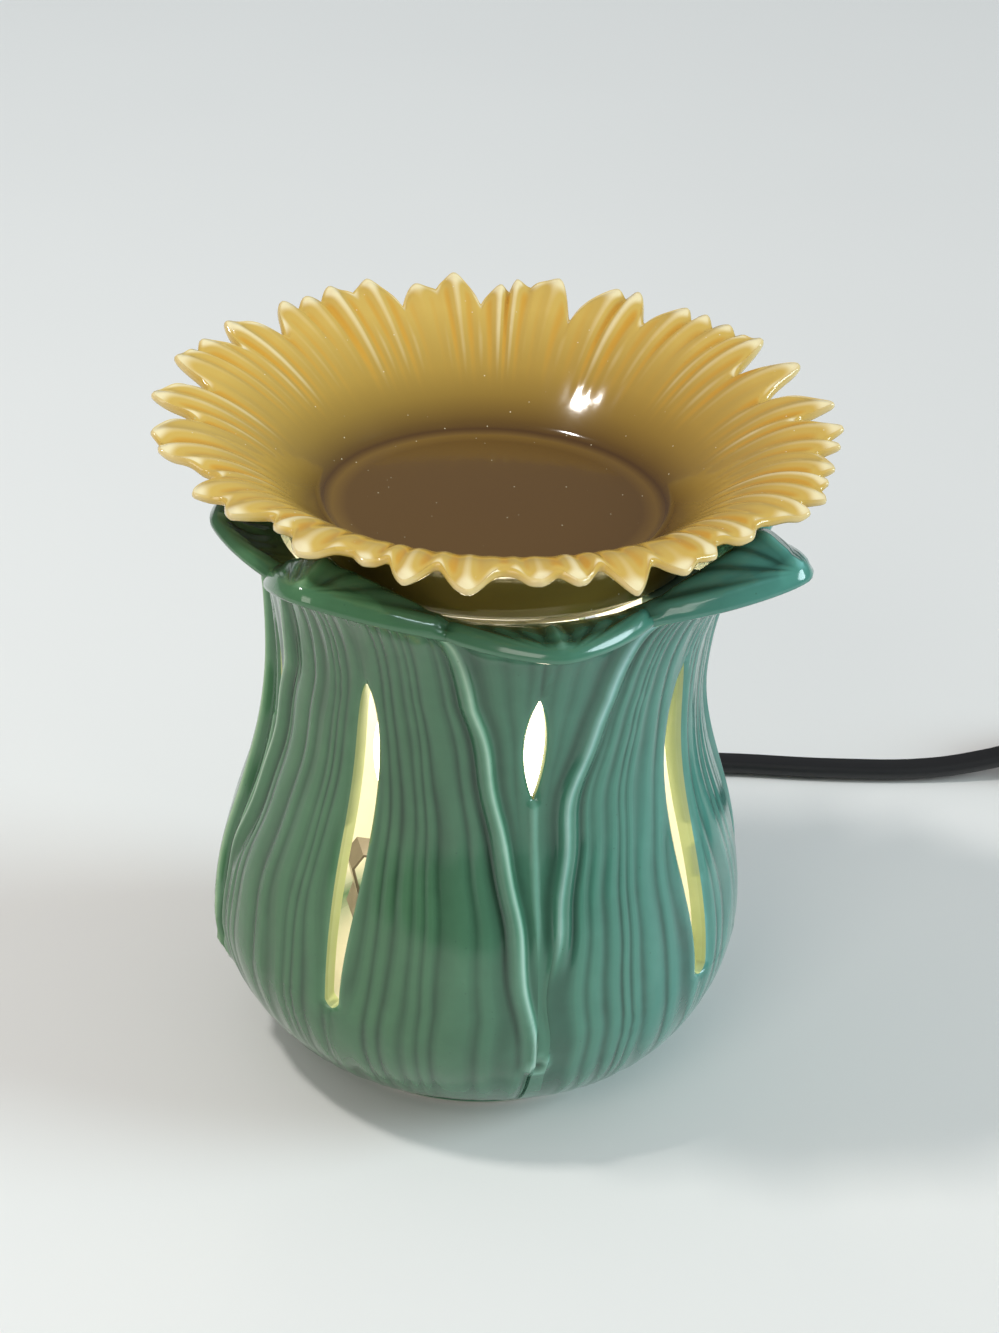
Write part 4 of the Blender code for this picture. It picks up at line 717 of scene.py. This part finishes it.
def openSlits(bm, grid, rows, slitRows, cutLayer):  # windows at even eighths, slits at odd ones
    keyOf = {vert: key for key, vert in grid.items()}
    count = lb["columns"]
    lastOut, firstIn = rows.index(("wall", lipZ)), rows.index(("inside", lipZ))
    inWindow = sum(z >= windowZ - 1e-6 for z in slitRows) - 1
    inSlit = len(slitRows) - 1
    doomed = [[] for _ in range(16)]
    for face in bm.faces:
        keys = [keyOf[v] for v in face.verts]
        index = round(keys[0][0] / eighth) % 8
        offsets = [(k[0] - index * eighth + count // 2) % count - count // 2 for k in keys]
        if max(abs(o) for o in offsets) > (lb["slitCells"] if index % 2 else lb["windowCells"]):
            continue
        low, high = min(k[1] for k in keys), max(k[1] for k in keys)
        deep = inSlit if index % 2 else inWindow
        if lastOut - deep <= low and high <= lastOut:
            doomed[2 * index].append(face)
        elif firstIn <= low and high <= firstIn + deep:
            doomed[2 * index + 1].append(face)
    rims = []
    for group in doomed:
        cells = set(group)
        edges = dict.fromkeys(e for f in group for e in f.edges)
        rims.append([e for e in edges if sum(f in cells for f in e.link_faces) == 1])
    bmesh.ops.delete(bm, geom=[f for group in doomed for f in group], context="FACES")
    for index in range(8):
        made = bmesh.ops.bridge_loops(bm, edges=rims[2 * index] + rims[2 * index + 1])
        for face in made["faces"]:
            face[cutLayer] = 1.0


def makeLeafBody():
    rows, slitRows = leafBodyRows()
    names = ("crest", "bare", "vein", "veined")
    bm, grid, layers = spinGrid(len(rows), lb["columns"], True, names, "cut")
    for (column, row), vert in grid.items():
        radius, z, angle, *values = leafPoint(rows[row], column)
        x, y = radius * sin(angle), -radius * cos(angle)
        vert.co = (x * mm, y * mm, liftNotch(x, y, radius, z) * mm)
        for name, value in zip(names, values):
            vert[layers[name]] = value
    openSlits(bm, grid, rows, slitRows, layers["cut"])
    return finishPiece("leafBody", bm, finishes["green"], "base", ["ceramic_body"],
                       radians(60))


bodyPiece = makeLeafBody()
print("leaf body:", len(bodyPiece.data.polygons), "faces")


seatLugs = dict(innerR=43.0, rootR=49.9, top=lb["seatZ"], thick=4.2, foot=115.5, footR=46.4,
                halfTurn=11.0, steps=8, edge=0.7)


def makeSeatLugs():  # four lugs inside the neck that carry the dish
    bm = bmesh.new()
    sl = seatLugs
    layers = {name: bm.verts.layers.float.new(name) for name in ("crest", "bare")}
    section = [(sl["innerR"], sl["top"]), (sl["rootR"], sl["top"]), (sl["footR"], sl["foot"]),
               (sl["innerR"], sl["top"] - sl["thick"])]
    for quarter in range(4):
        start = pi / 4 + quarter * pi / 2 - radians(sl["halfTurn"])
        corners = [(r * sin(start) * mm, -r * cos(start) * mm, z * mm) for r, z in section]
        face = bm.faces.new([bm.verts.new(corner) for corner in corners])
        bmesh.ops.spin(bm, geom=[face], cent=(0, 0, 0), axis=(0, 0, 1), dvec=(0, 0, 0),
                       angle=radians(2 * sl["halfTurn"]), steps=sl["steps"])
    bmesh.ops.recalc_face_normals(bm, faces=bm.faces)
    sharp = [e for e in bm.edges if len(e.link_faces) == 2 and e.calc_face_angle() > radians(40)]
    bmesh.ops.bevel(bm, geom=sharp, offset=sl["edge"] * mm, affect="EDGES", segments=3, profile=0.5,
                    material=-1)
    for vert in bm.verts:
        vert[layers["crest"]], vert[layers["bare"]] = 0.5, 0.15
    return finishPiece("seatLugs", bm, finishes["green"], "base")


makeSeatLugs()
print("seat lugs made")


# petal dish

petalDish = dict(
    floorZ=135.0, floorR=37.8, petalR=74.7, rise=20.9, thick=3.0, thin=1.2, sway=2.5, droop=2.0, swirl=2.0,
    cupR=46.2, bottomZ=130.0, ringR=42.2, ringW=3.6, ringH=3.0, columns=960,
    ridgeSpan=4.6, ridge=0.36, crown=0.9, hang=2.6, tipFill=0.30, tipRound=0.16, valleyRound=0.12,
    coveR=38.5, coveH=0.5, coveW=2.2, rimShare=0.985, slopeSpan=26.0, slopeRows=46,
    floorRows=(0.0, 12.0, 24.0, 32.0, 35.6, 37.0),
    underRows=(1.0, 0.95, 0.9, 0.84, 0.78, 0.72, 0.66, 0.58, 0.5, 0.42, 0.34))
pd = petalDish
petals = (  # a tip and the valley after it: degrees round from the front, and mm short of the longest tip
    (-45.5, 1.2, -37.5, 8.0), (-35.0, 6.2, -31.0, 8.2), (-27.5, 2.4, -22.5, 9.0), (-17.4, 2.6, -11.0, 9.8),
    (-5.0, 7.4, -2.0, 8.8), (1.2, 6.4, 5.5, 9.8), (9.7, 1.0, 14.5, 7.8), (19.5, 3.6, 22.5, 5.2),
    (26.0, 5.0, 28.5, 8.8), (35.0, 5.4, 38.0, 7.4), (48.5, 1.0, 49.6, 4.8), (53.7, 0.0, 56.4, 2.8),
    (58.7, 1.6, 60.6, 4.8), (63.8, 1.6, 68.4, 6.6), (71.8, 1.2, 74.2, 4.2), (78.5, 0.0, 82.4, 9.6),
    (87.3, 0.0, 93.8, 12.8), (102.9, 0.0, 107.0, 12.0), (114.0, 0.0, 118.4, 2.0), (121.5, 0.6, 123.8, 2.6),
    (126.9, 0.4, 128.6, 2.8), (131.0, 0.6, 135.6, 9.0), (141.4, 0.0, 143.0, 1.6), (145.1, 0.4, 151.0, 12.6),
    (156.4, 0.0, 161.0, 3.0), (163.7, 2.0, 165.0, 4.8), (166.6, 4.2, 170.6, 9.8), (175.5, 0.0, 179.3, 4.6),
    (183.0, 3.2, 187.2, 9.4), (191.7, 0.0, 195.6, 3.0), (199.3, 0.4, 202.4, 3.2), (205.1, 1.8, 207.9, 4.0),
    (209.8, 1.2, 216.4, 9.8), (223.5, 0.6, 228.0, 8.0), (232.0, 1.2, 234.5, 2.2), (239.8, 0.0, 247.0, 10.4),
    (255.0, 0.0, 261.6, 10.4), (268.8, 0.0, 272.0, 1.6), (275.0, 0.2, 286.6, 10.0), (290.6, 0.0, 295.6, 5.0),
    (299.4, 1.6, 304.6, 10.2), (308.0, 6.0, 310.5, 7.8))


def petalFree(radius):  # 0 where the petals start, 1 at the longest tip
    return max(0.0, 2 * (radius - pd["floorR"]) / (pd["petalR"] - pd["floorR"]) - 1)


def petalSwirl(angle, radius):  # the tips lean to the front on both sides
    return angle - radians(pd["swirl"]) * sin(angle) * petalFree(radius) ** 2


def petalRim(angle):  # rim radius, how near a tip it is, and the ridges that run down from it
    turn = degrees(petalSwirl(angle, pd["petalR"]))
    for (tip, short, valley, deep), after in zip(petals, petals[1:] + petals[:1]):
        span = (after[0] - tip) % 360
        at = (turn - tip) % 360
        if at < span:
            break
    low, side = (valley - tip) % 360, sin(angle)
    if at < low:
        share, top, rearward = 1 - at / low, short, side
    else:
        share, top, rearward = (at - low) / (span - low), after[1], -side
    bend = 1.25 - 0.45 * max(0.0, rearward) + 0.35 * max(0.0, -rearward) - 0.4 * max(0.0, -cos(angle))
    near = share ** max(0.5, bend)
    near += pd["tipFill"] * near * (1 - near)
    near = 1 - hypot(1 - near, pd["tipRound"]) + pd["tipRound"] * near  # blunt tips and round valleys
    near = hypot(near, pd["valleyRound"]) - pd["valleyRound"] * (1 - near)
    uneven = 0.66 + 0.22 * sin(13 * angle + 1.0) + 0.18 * sin(31 * angle)
    ridges = uneven * cos(tau * max(1, round(span / pd["ridgeSpan"])) * at / span)
    return pd["petalR"] - deep - (top - deep) * near, near, ridges


def petalTurns(fine=7200):  # azimuths of the columns, close together on a petal's steep sides
    angles = [tau * k / fine for k in range(fine + 1)]
    rims = [petalRim(a)[0] for a in angles]
    walked = [0.0]
    for k in range(fine):
        walked.append(walked[-1] + hypot(rims[k] * tau / fine, 0.7 * (rims[k + 1] - rims[k])))
    turns, k = [], 0
    for column in range(pd["columns"]):
        wanted = walked[-1] * column / pd["columns"]
        while walked[k + 1] < wanted:
            k += 1
        turns.append(angles[k] + (wanted - walked[k]) / (walked[k + 1] - walked[k]) * tau / fine)
    return turns


def dishHeight(angle, radius):  # the petals' upper side without its ridges
    along = (radius - pd["floorR"]) / (pd["petalR"] - pd["floorR"])
    bend = pd["sway"] * cos(angle) + pd["droop"] * max(0.0, cos(angle)) ** 2
    return pd["floorZ"] + pd["rise"] * (1 - (1 - along) ** 2) - bend * petalFree(radius) ** 2


def dishSlope(angle, share, rim, near, ridges):  # a point of the petals' upper side, its slope and its crest
    free = max(0.0, 2 * share - 1)
    radius = pd["floorR"] + share * (pd["petalR"] - pd["floorR"]) - free * (pd["petalR"] - rim)
    slope = (dishHeight(angle, radius + 0.2) - dishHeight(angle, radius - 0.2)) / 0.4
    ribbed = softStep(share, 0.03, 0.46)
    z = dishHeight(angle, radius) + pd["ridge"] * ridges * softStep(share, 0.12, 0.80)
    z += free * (pd["crown"] * (near - 0.45) - pd["hang"] * near * max(0.0, cos(angle)) ** 2)
    crest = 0.44 + 0.38 * ridges * ribbed + 0.34 * free * (near - 0.62)
    return radius, z, slope, crest


def dishRows():  # from the middle of the floor over the rim to the middle of the bottom
    cup, ring, bottom, rim = pd["cupR"], pd["ringR"], pd["bottomZ"], pd["rimShare"]
    inner, foot = ring - pd["ringW"], bottom - pd["ringH"]
    rows = [("floor", r) for r in pd["floorRows"]]
    rows += [("slope", k / pd["slopeRows"] * rim) for k in range(1, pd["slopeRows"] + 1)]
    rows += [("rim", radians(a)) for a in (55, 18, -18, -55)]
    rows += [("under", t * rim) for t in pd["underRows"]]
    rows += [("ring", r, z) for r, z in (
        (cup + 1.2, bottom + 8.0), (cup + 0.5, bottom + 4.5), (cup, bottom + 1.6), (cup - 0.5, bottom + 0.5),
        (cup - 1.4, bottom), (ring + 0.2, bottom), (ring, bottom - 0.4), (ring - 0.3, foot + 0.5),
        (ring - 0.9, foot), (inner + 0.6, foot), (inner, foot + 0.5), (inner - 0.3, bottom), (20.0, bottom),
        (0.0, bottom))]
    return rows


def dishPoint(kind, angle, rim, near, ridges):  # radius, height, crest, share of slope and of underside
    name, first = kind[:2]
    if name == "floor":
        return first, pd["floorZ"] + pd["coveH"] * bell(first - pd["coveR"], pd["coveW"]), 0.4, 0.0, 0.0
    if name == "ring":
        return first, kind[2], 0.4, 0.0, 1.0
    share = pd["rimShare"] if name == "rim" else first
    radius, z, steep, crest = dishSlope(angle, share, rim, near, ridges)
    norm = hypot(1, steep)
    sloped = softStep(share, 0.12, 0.55)
    edge = (1 - share) * pd["slopeSpan"]
    if name == "slope":
        return radius, z - 0.35 * bell(edge, 1.2), crest + 0.44 * bell(edge, 1.9), sloped, 0.0
    half = (pd["thick"] - pd["thin"] * petalFree(radius)) / 2
    if name == "rim":
        midR, midZ = radius + half * steep / norm, z - half / norm
        out, up = half * cos(first), half * sin(first)
        radius, z = midR + (out - up * steep) / norm, midZ + (out * steep + up) / norm
        return radius, z, 0.54 + 0.28 * near, sloped, 0.0
    under = 1 - softStep(share, 0.62, 0.95)
    crest = 0.45 + 0.4 * bell(edge, 3.0)
    return radius + 2 * half * steep / norm, z - 2 * half / norm, crest, sloped, under


def makePetalDish():
    rows = dishRows()
    names = ("crest", "slope", "under")
    bm, grid, layers = spinGrid(len(rows), pd["columns"], False, names)
    turns = petalTurns()
    rims = [petalRim(turn) for turn in turns]
    for (column, row), vert in grid.items():
        radius, z, *values = dishPoint(rows[row], turns[column], *rims[column])
        angle = petalSwirl(turns[column], radius)
        vert.co = (radius * sin(angle) * mm, -radius * cos(angle) * mm, z * mm)
        for name, value in zip(names, values):
            vert[layers[name]] = clamp(value)
    return finishPiece("petalDish", bm, finishes["amber"], "dish", ["dish"], radians(70))


dishPiece = makePetalDish()
print("petal dish:", len(dishPiece.data.polygons), "faces")


# lamp

lampSizes = dict(globeR=25.0, globeZ=72.60, neckR=11.8, neckLow=38.6, neckTop=44.0,
                 shoulder=((12.1, 47.0), (13.2, 50.0)), steps=72)


def makeLamp():
    ls = lampSizes
    sphere = [(ls["globeR"] * cos(radians(a)), ls["globeZ"] + ls["globeR"] * sin(radians(a)))
              for a in range(-52, 90, 6)]
    profile = [(0.0, ls["neckLow"]), (ls["neckR"], ls["neckLow"]), (ls["neckR"], ls["neckTop"]),
               *ls["shoulder"], *sphere, (0.0, ls["globeZ"] + ls["globeR"])]
    bm = turnProfile(profile, ls["steps"], False)
    finishPiece("lampGlobe", bm, finishes["glow"], "lamp", ["lamp_globe"])


makeLamp()
print("lamp made")


# switch and plug

switchBox = dict(x=207.0, y=88.0, length=58.0, mid=6.8)
switchWheel = dict(x=switchBox["x"], y=82.5, radius=9.0, half=2.7, bore=1.65, dish=0.35, edge=0.7, teeth=40,
                   toothDepth=0.35)


def makeSwitchWheel():  # a thumb wheel with fine teeth, dished on both faces
    sw = switchWheel
    radius, steps = sw["radius"], 4 * sw["teeth"]
    low, high = switchBox["mid"] - sw["half"], switchBox["mid"] + sw["half"]
    face = [(sw["bore"], 0.0), (0.62 * radius, 0.0), (0.66 * radius, sw["dish"]), (0.90 * radius, sw["dish"]),
            (0.94 * radius, 0.0), (radius, sw["edge"])]
    profile = [(r, low + z) for r, z in face] + [(r, high - z) for r, z in reversed(face)]
    bm = turnProfile(profile, steps, True)
    for vert in bm.verts:
        out = hypot(vert.co.x, vert.co.y) / mm
        step = round(atan2(vert.co.y, vert.co.x) / tau * steps)
        if out > 0.97 * radius and step % 4 < 2:
            vert.co.xy *= 1 - sw["toothDepth"] / out
    bmesh.ops.translate(bm, verts=bm.verts, vec=(sw["x"] * mm, sw["y"] * mm, 0))
    return finishPiece("thumbWheel", bm, finishes["wheel"], "switch_wheel", ["switch_wheel"],
                       radians(30))


def roundedCase(name, node, finish, width):  # a moulded case with its hard edges rounded
    bm = bmesh.new()
    bm.from_mesh(frame["nodes"][node].data)
    bmesh.ops.remove_doubles(bm, verts=bm.verts, dist=1e-6)
    bmesh.ops.dissolve_limit(bm, angle_limit=radians(1), verts=bm.verts, edges=bm.edges)
    hard = [e for e in bm.edges
            if len(e.link_faces) == 2 and e.is_convex and e.calc_face_angle() > radians(25)]
    bmesh.ops.bevel(bm, geom=hard, offset=width * mm, affect="EDGES", segments=3, profile=0.5, material=-1,
                    clamp_overlap=True)
    return finishPiece(name, bm, finishes[finish], "base", [node])


thumbWheel = makeSwitchWheel()
switchCases = [roundedCase("switchLowerCase", "switch_lower", "plastic", 0.5),
               roundedCase("switchUpperCase", "switch_upper", "plastic", 0.9)]
plugCase = roundedCase("plugCase", "plug_body", "rubber", 0.8)
print("switch and plug made")


# metal and moulded pieces that keep their own shape

nodeFinishes = dict(
    phenolic=("holder_cap", "holder_shell", "contact_block"),
    brass=("screw_shell", "contact_leaf", "terminal_screw_line", "terminal_screw_neutral",
           "switch_contact_in", "switch_contact_out", "plug_blade_left", "plug_blade_right"),
    steel=("clip_collar", "switch_axle", "switch_screw"),
    wire=("clip_leg_left", "clip_leg_right"),
    solder=("lamp_tip", "lamp_wire_left", "lamp_wire_right"),
    insulator=("lamp_insulator", "lamp_stem"),
    aluminium=("lamp_base",), tungsten=("lamp_filament",), rubber=("cord_bush",), tie=("cord_tie",))
nodes = frame["nodes"]
for finish, names in nodeFinishes.items():
    for name in names:
        nodes[name].data.materials.clear()
        nodes[name].data.materials.append(finishes[finish])
print("lamp and holder dressed")


# cords

lead = dict(width=7.2, thick=3.7, bushZ=3.65, tableZ=2.15, startY=8.5, sides=28, groove=0.22, grooveHalf=0.8)
coil = dict(radius=43.0, pitch=4.7, layer=7.9, lift=1.3, turns=4.25, steps=20, run=45.0, tail=70.0,
            plugMid=7.3, socket=5.0)
switchIn = switchBox["x"] - switchBox["length"] / 2
switchOut = switchBox["x"] + switchBox["length"] / 2
coilX, coilY = switchOut + coil["run"], switchBox["y"] - coil["radius"]
coilZ = coil["lift"] + lead["width"] / 2
tailX, plugY = coilX + coil["radius"], coilY - coil["tail"]


def cordSection():  # two round conductors with a groove between them
    curve = bpy.data.curves.new("cordSection", "CURVE")
    curve.dimensions = "2D"
    half, apart = lead["thick"] / 2, (lead["width"] - lead["thick"]) / 2
    points = []
    for k in range(lead["sides"]):
        angle = tau * k / lead["sides"]
        side = 1 if cos(angle) >= 0 else -1
        x, y = side * apart + half * cos(angle), half * sin(angle)
        pinch = 1 - lead["groove"] * bell(x, lead["grooveHalf"])
        points.append((x, y * pinch))
    spline = curve.splines.new("POLY")
    spline.points.add(len(points) - 1)
    for target, (x, y) in zip(spline.points, reversed(points)):
        target.co = (x * mm, y * mm, 0, 1)
    spline.use_cyclic_u = True
    guide = bpy.data.objects.new("cordSection", curve)
    bpy.context.collection.objects.link(guide)
    guide.hide_render = True
    guide.hide_viewport = True
    return guide


def cordPiece(name, points, turns, section, nodes):
    curve = bpy.data.curves.new(name, "CURVE")
    curve.dimensions = "3D"
    curve.twist_mode = "Z_UP"
    curve.bevel_mode = "OBJECT"
    curve.bevel_object = section
    curve.use_fill_caps = True
    curve.resolution_u = 6
    spline = curve.splines.new("BEZIER")
    spline.bezier_points.add(len(points) - 1)
    for target, point, turn in zip(spline.bezier_points, points, turns):
        target.co = [c * mm for c in point]
        target.handle_left_type = target.handle_right_type = "AUTO"
        target.tilt = turn
    curve.materials.append(finishes["cord"])
    piece = bpy.data.objects.new(name, curve)
    bpy.context.collection.objects.link(piece)
    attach(piece, "base")
    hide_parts(*nodes)
    return piece


def pathLength(points):
    return sum(hypot(*(b - a for a, b in zip(p, q))) for p, q in zip(points, points[1:])) * mm


section = cordSection()
bushZ, tableZ = lead["bushZ"], lead["tableZ"]
switchY, switchMid = switchBox["y"], switchBox["mid"]
leadRoute = [
    (0, lead["startY"], bushZ), (0, 29.9, bushZ), (0, 43.6, bushZ), (0, 65.6, bushZ), (2.0, 78.0, 2.8),
    (9.0, 91.0, tableZ), (22.0, 101.0, tableZ), (40.0, 105.5, tableZ), (62.0, 106.0, tableZ),
    (90.0, 101.2, tableZ), (122.0, 93.2, tableZ), (146.0, 89.2, 2.5), (162.0, 88.0, 4.5),
    (switchIn - lead["thick"], switchY, 6.65), (switchIn, switchY, switchMid),
    (switchIn + coil["socket"], switchY, switchMid)]
leadCord = cordPiece("leadCord", leadRoute, [0.0] * len(leadRoute), section, ["cord_lead"])


def coilRoute():  # switch to coil, two layers of loops, then down to the plug, with the turn of the flat side
    edge = pi / 2
    low, high, plugMid = coilZ, coilZ + coil["layer"], coil["plugMid"]
    route = [((switchOut - coil["socket"], switchY, switchMid), 0.0), ((switchOut, switchY, switchMid), 0.0),
             ((switchOut + 18.0, switchY, 6.0), 0.42 * edge), ((coilX - 11.0, switchY, low), edge)]
    steps = round(coil["turns"] * coil["steps"])
    inward = (coil["turns"] - 0.5) / 2
    for k in range(steps + 1):
        turn = k / coil["steps"]
        z = low + coil["layer"] * softStep(turn, inward, inward + 0.5)
        radius = coil["radius"] - coil["pitch"] * min(turn, coil["turns"] - turn)
        angle = pi / 2 - tau * turn
        route.append(((coilX + radius * cos(angle), coilY + radius * sin(angle), z), edge))
    route += [((tailX, coilY - 17.5, high - 0.8), 0.97 * edge),
              ((tailX, coilY - 38.5, 0.4 * high + 0.6 * plugMid), 0.45 * edge),
              ((tailX, plugY + 10.5, plugMid), 0.02 * edge), ((tailX, plugY - coil["socket"], plugMid), 0.0)]
    return [p for p, _ in route], [t for _, t in route]


coilPoints, coilTurns = coilRoute()
coilCord = cordPiece("coilCord", coilPoints, coilTurns, section, ["cord_run", "cord_coil", "cord_tail"])
print("cords: %.3f m and %.3f m" % (pathLength(leadRoute), pathLength(coilPoints)))
switchPieces = [thumbWheel, *switchCases]
switchPieces += [nodes[n] for n in ("switch_axle", "switch_screw", "switch_contact_in", "switch_contact_out")]
lead["bushZ"] * mm
pathLength(leadRoute)
pathLength(coilPoints)
